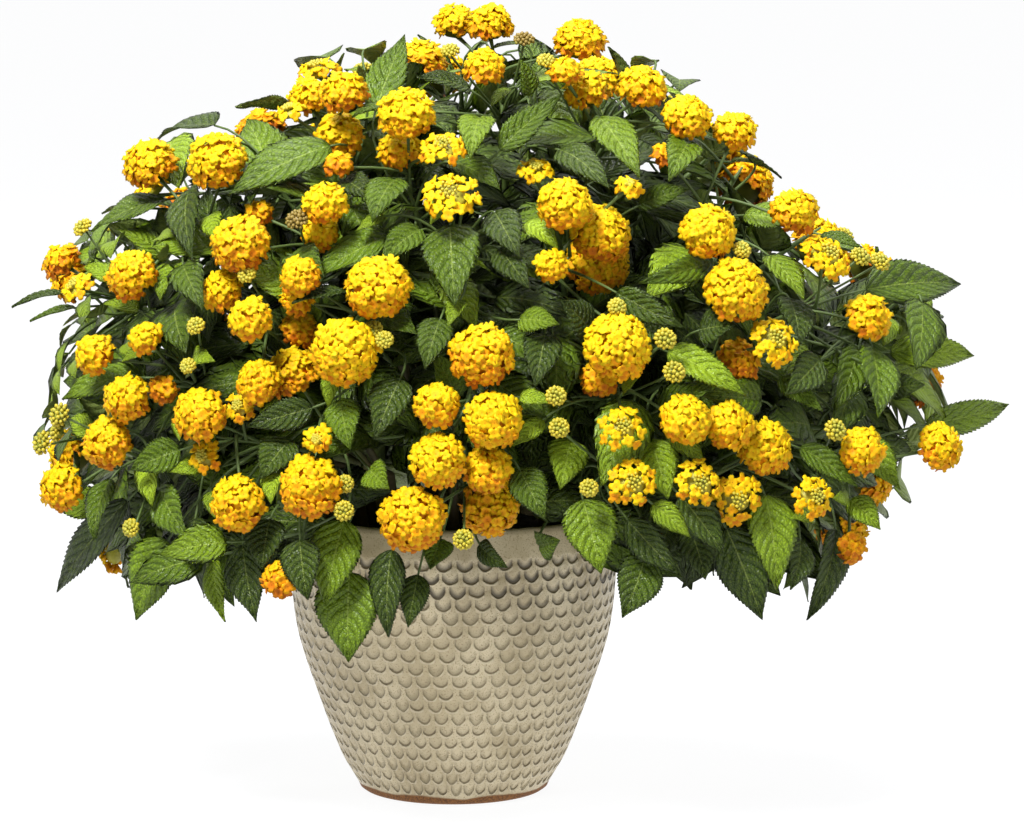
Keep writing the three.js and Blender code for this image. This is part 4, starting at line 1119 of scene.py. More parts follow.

# %% [markdown]
# ## More leaves than the CAD holds
#
# The coarse model has only the leaves that give the plant its form. A real bush has hundreds more
# behind and between them, which close the view to its dark middle. These fine leaves grow on the
# same shoots in four layers, from small bright young ones at the surface to plain ones deep inside.
# Only the front and outer ones are seen well, so the deep ones have few faces. Each leaf's age
# gives its green: the CAD's leaves are mostly grown or old. Those high up are painted darker, as
# painted shade, through a lower age.

# %% Ages of the coarse leaves
draw = seeded(71)
for k, leaf in enumerate(leaves):
    high = (leaf.tip.z - DOME_CENTRE.z) / DOME_AXES.z
    # Painted shade: the term in high lowers the age of leaves high on the dome, so their green is darker.
    leaf.age = min(max(between(draw, -1.1, 0.85) - 0.6 * high, -1), 0.5)
    if leaf.drawn_age:
        leaf.age = leaf.drawn_age[0]
    leaf.grid = "fine" if k < front_count else "plain"

# %% Four layers
LAYERS = [
    Thing(name="young", seed=59, steps=1500, lowest=-0.35, depths=(0.9, 1.0), spacing=15,
          lengths=(20, 38), most=150, longest=75, age=(0.5, 1.1), grid="young"),
    Thing(name="outer", seed=61, steps=3000, lowest=-0.6, depths=(0.84, 0.98), spacing=20,
          lengths=(42, 76), most=330, longest=85, age=(-0.8, 0.6), grid="outer"),
    Thing(name="middle", seed=62, steps=2500, lowest=-0.55, depths=(0.66, 0.86), spacing=20,
          lengths=(46, 84), most=480, longest=80, age=(-1.0, 0.1), grid="deep"),
    Thing(name="inner", seed=63, steps=2500, lowest=-0.45, depths=(0.4, 0.66), spacing=21,
          lengths=(46, 84), most=420, longest=80, age=(-1.0, -0.2), grid="deep"),
]
any_place = np.ones(len(places), bool)
POT_VIEW = Thing(middle=5, half=130, top=245)


def draw_leaf(layer, draw, turn):
    """The next leaf of a layer, which may still be turned down."""
    base = spiral_point(turn * STRIDE % layer.steps, layer.steps, layer.lowest, between(draw, *layer.depths))
    normal = dome_normal(base)
    sideways = normal.cross(UP).normalized()
    ahead = normal * between(draw, 0.1, 0.5) + UP * between(draw, -0.9, 0.2)
    ahead = (ahead + sideways * between(draw, -1, 1)).normalized()
    length = between(draw, *layer.lengths)
    width = length * between(draw, 0.52, 0.66)
    droop = between(draw, 0.3, 0.95)
    fold = between(draw, 0.1, 0.35)
    age = between(draw, *layer.age)
    tip = base + ahead * length
    leaf = make_leaf(hold_for(base, ahead, any_place), base, tip, width, normal + UP * 0.5, droop, fold)
    leaf.age, leaf.grid = min(max(age, -1), 1), layer.grid
    return leaf


def before_pot(tip):
    """Whether a leaf's tip would hang in front of the pot or its rim."""
    return tip.y < 0 and abs(tip.x - POT_VIEW.middle) < POT_VIEW.half and tip.z < POT_VIEW.top


def fits_layer(leaf, layer):
    if before_pot(leaf.tip) or past_outline(leaf.tip) > -2 or dome_depth(leaf.tip) > OUTERMOST:
        return False
    if (leaf.root - leaf.base).length > layer.longest or is_near(leaf, layer.spacing):
        return False
    stalk = [leaf.root.lerp(leaf.base, share) for share in (0.3, 0.6, 0.9)]
    if hides_head(leaf, heads) or any(is_before(spot, head, 0.9) for spot in stalk for head in heads):
        return False
    return is_clear(leaf_solid(leaf, petiole=False), is_stem)


# %% Growing the layers
for layer in LAYERS:
    draw = seeded(layer.seed)
    before = len(leaves)
    for turn in range(layer.steps):
        leaf = draw_leaf(layer, draw, turn)
        if len(leaves) < before + layer.most and fits_layer(leaf, layer):
            add_leaf(leaf, leaf_solid(leaf, petiole=False))
    print(layer.name, "leaves:", len(leaves) - before)

# %% [markdown]
# ## Making and finishing a mesh
#
# A template is a small mesh made once with bmesh operators: a blade, a flower, a bud or a length
# of tube. Its points hold plain coordinates, such as the place across and along a blade. A piece is
# made of many copies, and each copy's points are then carried to where they belong by a formula.
# Copied objects could be turned and scaled instead, but they couldn't droop, fold or bend. Marks
# are values kept on the points, which the materials read.

# %% Templates and marks
def mesh_of(bm, name):
    mesh = bpy.data.meshes.new(name)
    bm.to_mesh(mesh)
    bm.free()
    return mesh


def points_of(mesh):
    points = np.empty(len(mesh.vertices) * 3, np.float32)
    mesh.vertices.foreach_get("co", points)
    return points.reshape(-1, 3).astype(float)


def template_of(bm):
    mesh = mesh_of(bm, "template")
    return Thing(mesh=mesh, points=points_of(mesh))


def place_points_at(mesh, spots):
    mesh.vertices.foreach_set("co", (spots * MM).astype(np.float32).ravel())
    mesh.update()


def add_marks(mesh, name, values):
    values = np.asarray(values, np.float32)
    kind, field = ("FLOAT", "value") if values.ndim == 1 else ("FLOAT_VECTOR", "vector")
    mesh.attributes.new(name, kind, "POINT").data.foreach_set(field, values.ravel())


# %% Finishing a piece
def finish_piece(mesh, name, material, slot, *nodes):
    """Makes a mesh a piece of the plant or pot, which stands for CAD nodes."""
    mesh.materials.append(material)
    mesh.shade_smooth()
    piece = bpy.data.objects.new(name, mesh)
    bpy.context.scene.collection.objects.link(piece)
    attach(piece, "root")
    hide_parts(*nodes)


def stamped_piece(stamps, name, material, slot, *nodes):
    """Joins copies of templates. A stamp is a template, its points' places in mm, and its marks."""
    bm = bmesh.new()
    for template, _, _ in stamps:
        bm.from_mesh(template.mesh)
    mesh = mesh_of(bm, name)
    spots = np.concatenate([spots for _, spots, _ in stamps])
    place_points_at(mesh, spots)
    for mark in stamps[0][2]:
        values = [np.broadcast_to(marks[mark], (len(spots),) + np.shape(marks[mark])[1:])
                  for _, spots, marks in stamps]
        add_marks(mesh, mark, np.concatenate(values))
    finish_piece(mesh, name, material, slot, *nodes)


# %% [markdown]
# ## Node materials
#
# One function adds a node with its settings and links, and one turns the hex colours that a
# designer writes into the linear values that the renderer needs.

# %% Helpers for materials
def hex_linear(text):
    channels = [int(text[i:i + 2], 16) / 255 for i in (1, 3, 5)]
    return [c / 12.92 if c <= 0.04045 else ((c + 0.055) / 1.055) ** 2.4 for c in channels] + [1.0]


def new_material(name):
    material = bpy.data.materials.new(name)
    material.use_nodes = True
    material.node_tree.nodes.clear()
    return material


def node(material, kind, settings=None, *links, **named_links):
    """Adds a node with its settings and links.

    A link is a number, a colour, a socket, or a node, which gives its first output in use.
    Links go to the inputs in use in their order, or to the input that they're named for."""
    made = material.node_tree.nodes.new("ShaderNode" + kind)
    for name, value in (settings or {}).items():
        setattr(made, name, value)
    pairs = list(zip([socket for socket in made.inputs if socket.enabled], links))
    pairs += [(made.inputs[name.replace("_", " ")], value) for name, value in named_links.items()]
    for socket, value in pairs:
        if isinstance(value, bpy.types.Node):
            value = next(output for output in value.outputs if output.enabled)
        if isinstance(value, bpy.types.NodeSocket):
            material.node_tree.links.new(value, socket)
        else:
            socket.default_value = hex_linear(value) if isinstance(value, str) else value
    return made


# %% Settings that come back in many nodes
BLEND = dict(data_type="RGBA")
SMOOTH = dict(interpolation_type="SMOOTHSTEP")
TIMES = dict(operation="MULTIPLY")
TIMES_PLUS = dict(operation="MULTIPLY_ADD")
PLUS = dict(operation="ADD")
LESS = dict(operation="SUBTRACT")
POWER = dict(operation="POWER")
SIZE = dict(operation="ABSOLUTE")
FLOOR = dict(operation="FLOOR")

# %% [markdown]
# ## Lantana leaf
#
# A real lantana leaf is matt to satin, dark green above and pale grey-green beneath. Its side veins
# are sunk and run towards the tip, the skin between them swells up in quilts of about 7 mm, and a
# net of fine veins some 2.5 mm apart crosses those. Young leaves are a bright yellow green.
#
# The veins are worked out in nodes from the blade mark, so they follow each leaf as it bends. That
# mark gives each point its place across (-1 to 1) and along (0 to 1) the blade, and which face it
# is on. The age mark runs from -1, old, to 1, young. The tops of the quilts are painted lighter, a
# painted highlight, and the sunk veins and the fine net are painted darker, as painted shade.

# %% The leaf's veins and net
VEIN_PAIRS = 8
VEIN_SLANT, VEIN_CURVE = 0.3, 1.1
NET_CELLS = 24

leaf_finish = new_material("lantana_leaf")
blade = node(leaf_finish, "Attribute", dict(attribute_name="blade")).outputs["Vector"]
axes = node(leaf_finish, "SeparateXYZ", Vector=blade).outputs
out = node(leaf_finish, "Math", SIZE, axes[0])
place = node(leaf_finish, "TexCoord").outputs["Object"]
uneven = node(leaf_finish, "TexNoise", Vector=place, Scale=55, Detail=1)
slant = node(leaf_finish, "Math", TIMES, node(leaf_finish, "Math", POWER, out, VEIN_CURVE), VEIN_SLANT)
rows = node(leaf_finish, "Math", TIMES, node(leaf_finish, "Math", LESS, axes[1], slant), VEIN_PAIRS)
rows = node(leaf_finish, "Math", TIMES_PLUS, uneven, 0.5, rows)
wave = node(leaf_finish, "Math", dict(operation="PINGPONG"), rows, 0.5)
vein = node(leaf_finish, "MapRange", SMOOTH, wave, 0.05, 0.0)
rib = node(leaf_finish, "MapRange", SMOOTH, out, 0.045, 0.01)
swell = node(leaf_finish, "Math", POWER, node(leaf_finish, "Math", TIMES, wave, 2.0), 0.5)
narrow = node(leaf_finish, "VectorMath", TIMES, blade, (0.34, 1, 0))
net = node(leaf_finish, "TexVoronoi", dict(feature="DISTANCE_TO_EDGE"), Vector=narrow, Scale=NET_CELLS)
print("on a 60 mm blade, mm: quilts", 60 / VEIN_PAIRS, "net", 60 / NET_CELLS)

# %% The leaf's greens
age = node(leaf_finish, "Attribute", dict(attribute_name="age")).outputs["Fac"]
patches = node(leaf_finish, "TexNoise", Vector=place, Scale=40, Detail=3)
old_top = node(leaf_finish, "Mix", BLEND, patches, "#1B2C06", "#33490E")
grown_top = node(leaf_finish, "Mix", BLEND, patches, "#364D06", "#668312")
young_top = node(leaf_finish, "Mix", BLEND, patches, "#7FA012", "#B2CC2A")
oldness = node(leaf_finish, "MapRange", SMOOTH, age, 0.0, -1.0)
mature_top = node(leaf_finish, "Mix", BLEND, oldness, grown_top, old_top)
top = node(leaf_finish, "Mix", BLEND, age, mature_top, young_top)
# Painted highlight and painted shade: a lighter green for the quilts' tops, and a near-black one for the
# grooves of the veins and the net.
quilt_highlight = node(leaf_finish, "Mix", BLEND, 0.4, top, "#A9BA34")
groove_shade = node(leaf_finish, "Mix", BLEND, 0.42, top, "#0F1902")
rib_colour = node(leaf_finish, "Mix", BLEND, 0.38, top, "#B3C163")
beneath = node(leaf_finish, "Mix", BLEND, patches, "#667C33", "#929F54")

# %% The leaf's skin
# The quilts' tops get the painted highlight, then the net and the side veins get the painted shade.
quilt_highlighted = node(leaf_finish, "Mix", BLEND, node(leaf_finish, "Math", TIMES, swell, 0.25), top, quilt_highlight)
in_net = node(leaf_finish, "MapRange", SMOOTH, net, 0.16, 0.0)
net_shaded = node(leaf_finish, "Mix", BLEND, in_net, quilt_highlighted, groove_shade)
veins_shaded = node(leaf_finish, "Mix", BLEND, node(leaf_finish, "Math", TIMES, vein, 0.3), net_shaded, groove_shade)
ribbed = node(leaf_finish, "Mix", BLEND, node(leaf_finish, "Math", TIMES, rib, 0.6), veins_shaded, rib_colour)
below = node(leaf_finish, "MapRange", SMOOTH, axes[2], -0.2, -0.6)
colour = node(leaf_finish, "Mix", BLEND, below, ribbed, beneath)
quilt = node(leaf_finish, "Bump", Strength=1.0, Distance=0.0014, Height=swell)
fine = node(leaf_finish, "Bump", Strength=1.0, Distance=0.0012, Height=net, Normal=quilt)
skin = node(leaf_finish, "BsdfPrincipled", Base_Color=colour, Roughness=0.42,
            Specular_IOR_Level=0.28, Normal=fine)
node(leaf_finish, "OutputMaterial", Surface=skin)
print("leaf material nodes:", len(leaf_finish.node_tree.nodes))

# %% [markdown]
# A blade starts as a flat grid. A second, turned-over grid lies under it, and the two share their
# edge, which makes a closed thin body. Its points hold the place across and along until a formula
# bends them. The kinds of blade differ in their faces: the front's have enough for teeth and
# quilts, and the deep ones only for their outline. Each kind has its number of teeth on a side and
# of columns across, how high its quilts stand, and how deep its teeth are cut, in mm.

# %% Blade templates
def blade_template(teeth, columns):
    bm = bmesh.new()
    bmesh.ops.create_grid(bm, x_segments=columns, y_segments=2 * teeth, size=1)
    under = bmesh.ops.duplicate(bm, geom=bm.faces[:])["geom"]
    bmesh.ops.reverse_faces(bm, faces=[item for item in under if isinstance(item, bmesh.types.BMFace)])
    low = {item for item in under if isinstance(item, bmesh.types.BMVert)}
    for vertex in bm.verts:
        on_edge = abs(vertex.co.x) > 0.999 or abs(vertex.co.y) > 0.999
        vertex.co.z = 0 if on_edge else (-1 if vertex in low else 1)
        vertex.co.y = (vertex.co.y + 1) / 2
    bmesh.ops.remove_doubles(bm, verts=bm.verts, dist=1e-4)
    return template_of(bm)


BLADES = {}
for name, teeth, columns, relief, bite in (("fine", 22, 8, 1.3, 1.3), ("plain", 14, 6, 0.9, 1.1),
                                           ("outer", 6, 4, 0, 0.7), ("young", 5, 4, 0, 0.6),
                                           ("deep", 5, 2, 0, 0)):
    template = blade_template(teeth, columns)
    BLADES[name] = Thing(template=template, teeth=teeth, relief=relief, bite=bite)
    print(name, "blade faces:", len(template.mesh.polygons))

# %% [markdown]
# Every other point along the edge is drawn in, and the ones between lean towards the tip, for
# teeth. The saw is 1 at the point of a tooth and 0 between two. The relief lifts the skin between
# the side veins, and each leaf has its own slow wave near its edge.

# %% The fine form of a leaf
BLADE_THICKNESS = 0.7
NECK = 0.9
TOOTH_LEAN = 0.4
VEIN_SHIFT = 0.25


def blade_heights(leaf, kind, s, t, w, edge, half):
    """How far each point of a blade lies above the leaf's bent middle plane."""
    phase = VEIN_PAIRS * (t - VEIN_SLANT * np.abs(s) ** VEIN_CURVE) + VEIN_SHIFT
    swell = np.abs(np.sin(np.pi * phase)) ** 0.7 * np.minimum(1, 4 * np.abs(s)) * (1 - edge)
    ripple = leaf.wave * np.sin(9 * t + leaf.turn + 2 * np.sign(s)) * np.abs(s) ** 3
    height = leaf.fold * np.abs(half * s) + kind.relief * swell + ripple
    return height + w * BLADE_THICKNESS / 2


def blade_spots(leaf, kind):
    s, t, w = kind.template.points.T
    saw = np.abs((t * kind.teeth) % 1 - 0.5) * 2
    edge = np.abs(s) ** 5
    t = np.clip(t + TOOTH_LEAN / kind.teeth * saw * edge * (t < 0.97), 0, 1)
    half = np.maximum(0.5 * leaf.width * blade_width(t), NECK * (1 - t))
    half = half - kind.bite * (1 - saw) * edge * np.sin(np.pi * t)
    height = blade_heights(leaf, kind, s, t, w, edge, half)
    ahead, up, side, base = [np.array(axis) for axis in (leaf.ahead, leaf.up, leaf.side, leaf.base)]
    turn = leaf.droop * t
    sin, cos = np.sin(turn)[:, None], np.cos(turn)[:, None]
    run, fall = leaf.length * sin / leaf.droop, leaf.length * (1 - cos) / leaf.droop
    return (base + ahead * run - up * fall + side * (half * s)[:, None]
            + (ahead * sin + up * cos) * height[:, None])


draw = seeded(73)
for leaf in leaves:
    leaf.wave = between(draw, 0.4, 1.8) * min(leaf.length / 60, 1)
    leaf.turn = between(draw, 0, 6.3)

# %% [markdown]
# ## Stems and stalks
#
# A lantana's shoots are green and slightly rough, and brown wood at their foot. Curves with a round
# bevel would do for them, but a tube template, a ring of points drawn out many times, can be
# stamped like the blades. Each tube then follows its path. The woody mark runs from 0, green, to
# 1, bark.

# %% The stem material
stem_finish = new_material("lantana_stem")
place = node(stem_finish, "TexCoord").outputs["Object"]
woody = node(stem_finish, "Attribute", dict(attribute_name="woody")).outputs["Fac"]
grain = node(stem_finish, "TexNoise", Vector=place, Scale=350, Detail=4)
green = node(stem_finish, "Mix", BLEND, grain, "#34481A", "#596C2C")
bark = node(stem_finish, "Mix", BLEND, grain, "#332514", "#5C492C")
colour = node(stem_finish, "Mix", BLEND, woody, green, bark)
rough = node(stem_finish, "Bump", Strength=0.5, Distance=0.0004, Height=grain)
skin = node(stem_finish, "BsdfPrincipled", Base_Color=colour, Roughness=0.6, Normal=rough)
node(stem_finish, "OutputMaterial", Surface=skin)


# %% Tube templates
def parts_of(drawn, kind):
    """The edges or points among what an operator has made."""
    return [item for item in drawn["geom"] if isinstance(item, kind)]


def tube_template(rings, sides):
    bm = bmesh.new()
    bmesh.ops.create_circle(bm, segments=sides, radius=1, cap_ends=True)
    edges = bm.edges[:]
    for k in range(1, rings):
        drawn = bmesh.ops.extrude_edge_only(bm, edges=edges)
        edges = parts_of(drawn, bmesh.types.BMEdge)
        bmesh.ops.translate(bm, verts=parts_of(drawn, bmesh.types.BMVert), vec=(0, 0, 1))
    bmesh.ops.contextual_create(bm, geom=edges)
    bmesh.ops.recalc_face_normals(bm, faces=bm.faces[:])
    return template_of(bm)


SHOOT_RINGS, STALK_RINGS, DEEP_RINGS, HEAD_RINGS = (16, 8), (7, 5), (4, 4), (6, 6)
TUBES = {rings: tube_template(*rings) for rings in (SHOOT_RINGS, STALK_RINGS, DEEP_RINGS, HEAD_RINGS)}


# %% Tubes along a path
def tube_stamp(points, radii, rings, woody=0.0):
    """A tube through as many points as its template has rings."""
    template = TUBES[rings]
    first = not_along(towards(points[0], points[1]), 0.8)
    spots = np.empty_like(template.points)
    level = np.rint(template.points[:, 2]).astype(int)
    for k, point in enumerate(points):
        ahead = towards(points[max(k - 1, 0)], points[min(k + 1, len(points) - 1)])
        first = across(first, ahead)
        second = ahead.cross(first)
        around = template.points[level == k][:, :2]
        spots[level == k] = np.array(point) + radii[k] * (around @ np.array([first, second]))
    marks = np.full(len(spots), woody) if np.isscalar(woody) else woody[level]
    return template, spots, dict(woody=marks)


def bend(start, end, out_of_start, count):
    """Points on a curve from start to end, which leaves the start in a direction."""
    reach = (end - start).length
    control = start + out_of_start * (0.45 * reach)
    steps = [k / (count - 1) for k in range(count)]
    return [start * (1 - t) ** 2 + control * (2 * t * (1 - t)) + end * t ** 2 for t in steps]


# %% Shoots, leaf stalks and bud stalks
SHOOT_END = 0.45


def shoot_stamp(limb, shoot):
    """A shoot, woody at its foot. A limb's first shoot has the limb's stem below it."""
    steps = [k / 13 for k in range(14)]
    curve = [shoot.curve(t) for t in steps]
    if shoot.first:
        points = [limb.foot, above_soil(limb), *curve]
        radii = [STEM.trunk, STEM.trunk, *np.interp(steps, [0, 1], [STEM.fork, 0.6 * STEM.fork])]
    else:
        points = [curve[0], curve[0].lerp(curve[1], 0.3), curve[0].lerp(curve[1], 0.7), *curve[1:]]
        radii = [0.6 * STEM.fork, *np.interp(np.linspace(0, 1, 15), [0, 0.3, 1], [2.8, 2.5, 1.6])]
    radii[-1] *= SHOOT_END
    woody = np.interp(np.arange(16), [0, 3, 10], [1.0, 0.8, 0.0])
    return tube_stamp(points, radii, SHOOT_RINGS, woody)


def petiole_stamp(leaf):
    rings = DEEP_RINGS if leaf.grid == "deep" else STALK_RINGS
    points = bend(leaf.base + leaf.ahead, leaf.root, -leaf.ahead, rings[0])
    return tube_stamp(points, np.linspace(0.8, 1.3, rings[0]), rings)


def bud_stalk_stamp(bud):
    low = underside(bud)
    points = bend(bud.hold, low, towards(bud.hold, low), HEAD_RINGS[0])
    return tube_stamp(points, [0.9] * HEAD_RINGS[0], HEAD_RINGS)


# %% Dressing the limbs
def blade_stamp(leaf):
    kind = BLADES[leaf.grid]
    marks = dict(blade=kind.template.points, age=np.array([leaf.age]))
    return kind.template, blade_spots(leaf, kind), marks


for k, limb in enumerate(limbs):
    name = f"leafy_stem_{number_of(k)}"
    own = [leaf for leaf in leaves if leaf.limb is limb]
    blades = [blade_stamp(leaf) for leaf in own]
    stamped_piece(blades, f"leaves_{number_of(k)}", leaf_finish, "foliage", name)
    tubes = [shoot_stamp(limb, shoot) for shoot in limb.shoots]
    tubes += [petiole_stamp(leaf) for leaf in own]
    tubes += [bud_stalk_stamp(bud) for bud in buds if bud.limb is limb]
    stamped_piece(tubes, f"stems_{number_of(k)}", stem_finish, "foliage", name)
print("leaves in all:", len(leaves))

# %% [markdown]
# ## Flowers
#
# A head is some fifty florets, each a flat face about 10 mm across with four rounded lobes. They
# open lemon yellow and turn orange, so the lowest ones are the deepest. A floret has a small dark
# eye. The face mark gives a point's place on its floret, whose radius is 1. The ripe mark runs from
# 0, lemon, to 1, orange, and goes on towards 2 for the core that shows between the florets. The
# core's underside is painted dark brown, as painted shade.

# %% The petal material
# The last two stops, dark brown and olive, serve mostly the core's underside, as painted shade.
PETAL_STOPS = ((0.0, "#D8B90A"), (0.14, "#DAAE06"), (0.3, "#DA9806"), (0.5, "#C26C0A"),
               (0.7, "#7A3D08"), (0.8, "#4B4E16"))

petal_finish = new_material("lantana_petal")
ripe = node(petal_finish, "Attribute", dict(attribute_name="ripe")).outputs["Fac"]
face = node(petal_finish, "Attribute", dict(attribute_name="face")).outputs["Vector"]
flat = node(petal_finish, "VectorMath", TIMES, face, (1, 1, 0))
radius = node(petal_finish, "VectorMath", dict(operation="LENGTH"), flat).outputs["Value"]
# Partly painted shade: the middle of each floret is coloured more orange, partly for its own throat colour
# and partly for shade in the throat.
throat_colour_and_shade = node(petal_finish, "MapRange", SMOOTH, radius, 0.85, 0.3)
shown = node(petal_finish, "Math", TIMES_PLUS, throat_colour_and_shade, 0.36, ripe)
ramp = node(petal_finish, "ValToRGB", Fac=node(petal_finish, "Math", TIMES, shown, 0.5))
stops = ramp.color_ramp.elements
for k, (share, text) in enumerate(PETAL_STOPS):
    stop = stops.new(share) if k else stops[0]
    stop.color = hex_linear(text)
stops.remove(stops[-1])
eye = node(petal_finish, "MapRange", SMOOTH, radius, 0.14, 0.04)
eye = node(petal_finish, "Math", TIMES, eye, 0.6)
colour = node(petal_finish, "Mix", BLEND, eye, ramp, "#8D4207")
place = node(petal_finish, "TexCoord").outputs["Object"]
crinkle = node(petal_finish, "TexNoise", Vector=place, Scale=900, Detail=2)
soft = node(petal_finish, "Bump", Strength=0.35, Distance=0.0003, Height=crinkle)
skin = node(petal_finish, "BsdfPrincipled", Base_Color=colour, Roughness=0.62,
            Specular_IOR_Level=0.15, Normal=soft)
node(petal_finish, "OutputMaterial", Surface=skin)

# %% [markdown]
# Petals modelled one by one would take too many faces, as the plant has thousands of florets. A
# floret starts as two rings of points round a middle, closed by a low cone behind. The outer ring
# is drawn in to a notch between the lobes. Each lobe has its own span and curl, so four different
# florets are enough for every head.

# %% The floret
LOBES = 4
INNER_RING = 0.4
BEHIND = 0.8


def shape_petals(bm, curls, spans):
    """Cuts the notches, curls the lobes and sinks the eye."""
    for vertex in bm.verts:
        reach = vertex.co.xy.length
        turn = (math.atan2(vertex.co.y, vertex.co.x) / (2 * math.pi) % 1) * LOBES
        from_notch = abs(turn - round(turn))
        lobe = int(turn)
        in_notch = from_notch < 0.1
        if reach > 0.9:
            vertex.co.xy *= 0.6 if in_notch else spans[lobe] * (0.94 + 0.24 * (from_notch - 0.25))
            vertex.co.z += 0.0 if in_notch else curls[lobe]
        elif reach > 0.2:
            vertex.co.z -= 0.08 if in_notch else 0.0
        elif vertex.co.z > -0.5:
            vertex.co.z -= 0.22


def floret_template(seed):
    draw = seeded(seed)
    bm = bmesh.new()
    bmesh.ops.create_circle(bm, segments=4 * LOBES, radius=INNER_RING, cap_ends=True, cap_tris=True)
    rims = [edge for edge in bm.edges if edge.is_boundary]
    for grow, drop in ((1 / INNER_RING, 0.0), (0.0, -BEHIND)):
        drawn = bmesh.ops.extrude_edge_only(bm, edges=rims)
        rims = parts_of(drawn, bmesh.types.BMEdge)
        outer = parts_of(drawn, bmesh.types.BMVert)
        bmesh.ops.scale(bm, verts=outer, vec=(grow, grow, 1))
        bmesh.ops.translate(bm, verts=outer, vec=(0, 0, drop))
    bmesh.ops.remove_doubles(bm, verts=bm.verts, dist=1e-4)
    bmesh.ops.recalc_face_normals(bm, faces=bm.faces)
    curls = [between(draw, -0.16, 0.34) for _ in range(LOBES + 1)]
    spans = [between(draw, 0.92, 1.12) for _ in range(LOBES + 1)]
    shape_petals(bm, curls, spans)
    return template_of(bm)


FLORETS = [floret_template(seed) for seed in (3, 5, 7, 9)]
print("floret faces:", len(FLORETS[0].mesh.polygons))


# %% Beads, globes and where they sit
def globe_template(detail):
    bm = bmesh.new()
    bmesh.ops.create_icosphere(bm, subdivisions=detail, radius=1)
    return template_of(bm)


BEAD = globe_template(1)
GLOBE = globe_template(2)


def out_of_head(head, tilt, turn):
    """The way out from a point on a head's ball."""
    side, other = head_axes(head)
    tall = head.top if tilt < math.pi / 2 else head.bottom
    around = side * math.cos(turn) + other * math.sin(turn)
    return (head.axis * (math.cos(tilt) / tall) + around * (math.sin(tilt) / head.radius)).normalized()


def set_on(template, point, out, roll, size, stretch=1.0):
    """The places of a template's points, once it stands on a point and is turned by a roll."""
    side = across(not_along(out), out)
    other = out.cross(side)
    first = side * math.cos(roll) + other * math.sin(roll)
    second = out.cross(first)
    frame_rows = np.array([first * size, second * size, out * (size * stretch)])
    return np.array(point) + template.points @ frame_rows


def core_spots(head, filled):
    return set_on(GLOBE, head.centre, head.axis, 0, filled * head.radius, 0.9 * head.top / head.radius)


# %% [markdown]
# A head's florets follow the golden angle from its top down to its lowest ring. Their number comes
# from the area of the ball. Each leans a little by chance, and those at the side lean up the head,
# so that they lap like shingles. Those low down are riper. Those that face down are painted more
# orange too, as painted shade.

# %% Florets on a head
FLORET_RADIUS = 5.0
SHINGLE = 0.42
FLORETS_OF = {
    "ball": Thing(first=0, lowest=118, area=46, loose=0.07, ripe=0.06),
    "old": Thing(first=0, lowest=115, area=50, loose=0.07, ripe=0.4),
    "flat": Thing(first=19, lowest=92, area=72, loose=0.1, ripe=-0.05),
}
FEWEST_FLORETS = 8
FLORET_SUNK = 1.8
CORE_SHARE = 0.79


def floret_stamp(head, kind, draw, k, share, tilt):
    """One floret on a head. The share is its place among the florets, from 0 at the top to 1."""
    tilt += between(draw, -0.08, 0.08)
    turn = k * GOLDEN_TURN + between(draw, -0.12, 0.12)
    size = FLORET_RADIUS * between(draw, 0.84, 1.1)
    reach = 1 - FLORET_SUNK / head.radius + between(draw, -kind.loose, kind.loose)
    point, out = on_head(head, tilt, turn, reach), out_of_head(head, tilt, turn)
    lean = Vector([between(draw, -0.3, 0.3) for _ in range(3)])
    lean += head.axis * (SHINGLE * math.sin(tilt))
    floret = FLORETS[k % len(FLORETS)]
    spots = set_on(floret, point, (out + lean).normalized(), between(draw, 0, 6.3), size)
    # Painted shade: the term in out.z makes florets that face down riper, and so more orange.
    ripe = kind.ripe + head.ripe + 0.55 * max(0, share - 0.35) - 0.3 * out.z + between(draw, -0.16, 0.22)
    return floret, spots, dict(ripe=np.array([min(max(ripe, 0), 1.05)]), face=floret.points)


def floret_stamps(head, draw):
    """A head's florets, and the core of a round head."""
    kind = FLORETS_OF[head.kind]
    top, low = math.cos(math.radians(kind.first)), math.cos(math.radians(kind.lowest))
    shape = (head.top + head.bottom) / (2 * head.radius)
    area = 2 * math.pi * head.radius ** 2 * (top - low) * (0.4 + 0.6 * shape)
    count = max(FEWEST_FLORETS, round(area / kind.area))
    stamps = []
    for k in range(count):
        share = (k + 0.5) / count
        stamps.append(floret_stamp(head, kind, draw, k, share, math.acos(top + (low - top) * share)))
    if head.kind != "flat":
        # Painted shade: the core's ripe mark rises on its lower part, which turns it dark brown.
        core_ripe_and_shade = 0.75 + 1.4 * np.clip(0.2 - GLOBE.points[:, 2], 0, 1)
        marks = dict(ripe=core_ripe_and_shade, face=np.ones_like(GLOBE.points))
        stamps.append((GLOBE, core_spots(head, CORE_SHARE), marks))
    return stamps


# %% [markdown]
# ## Buds
#
# Unopened buds are small beads, yellow green, packed in a spiral. They fill the middle of a young
# head, and whole clusters of them stand on thin stalks. The ripe mark runs from 0, green, to 1,
# yellow. Below 0 a cluster is spent: dry and brown.

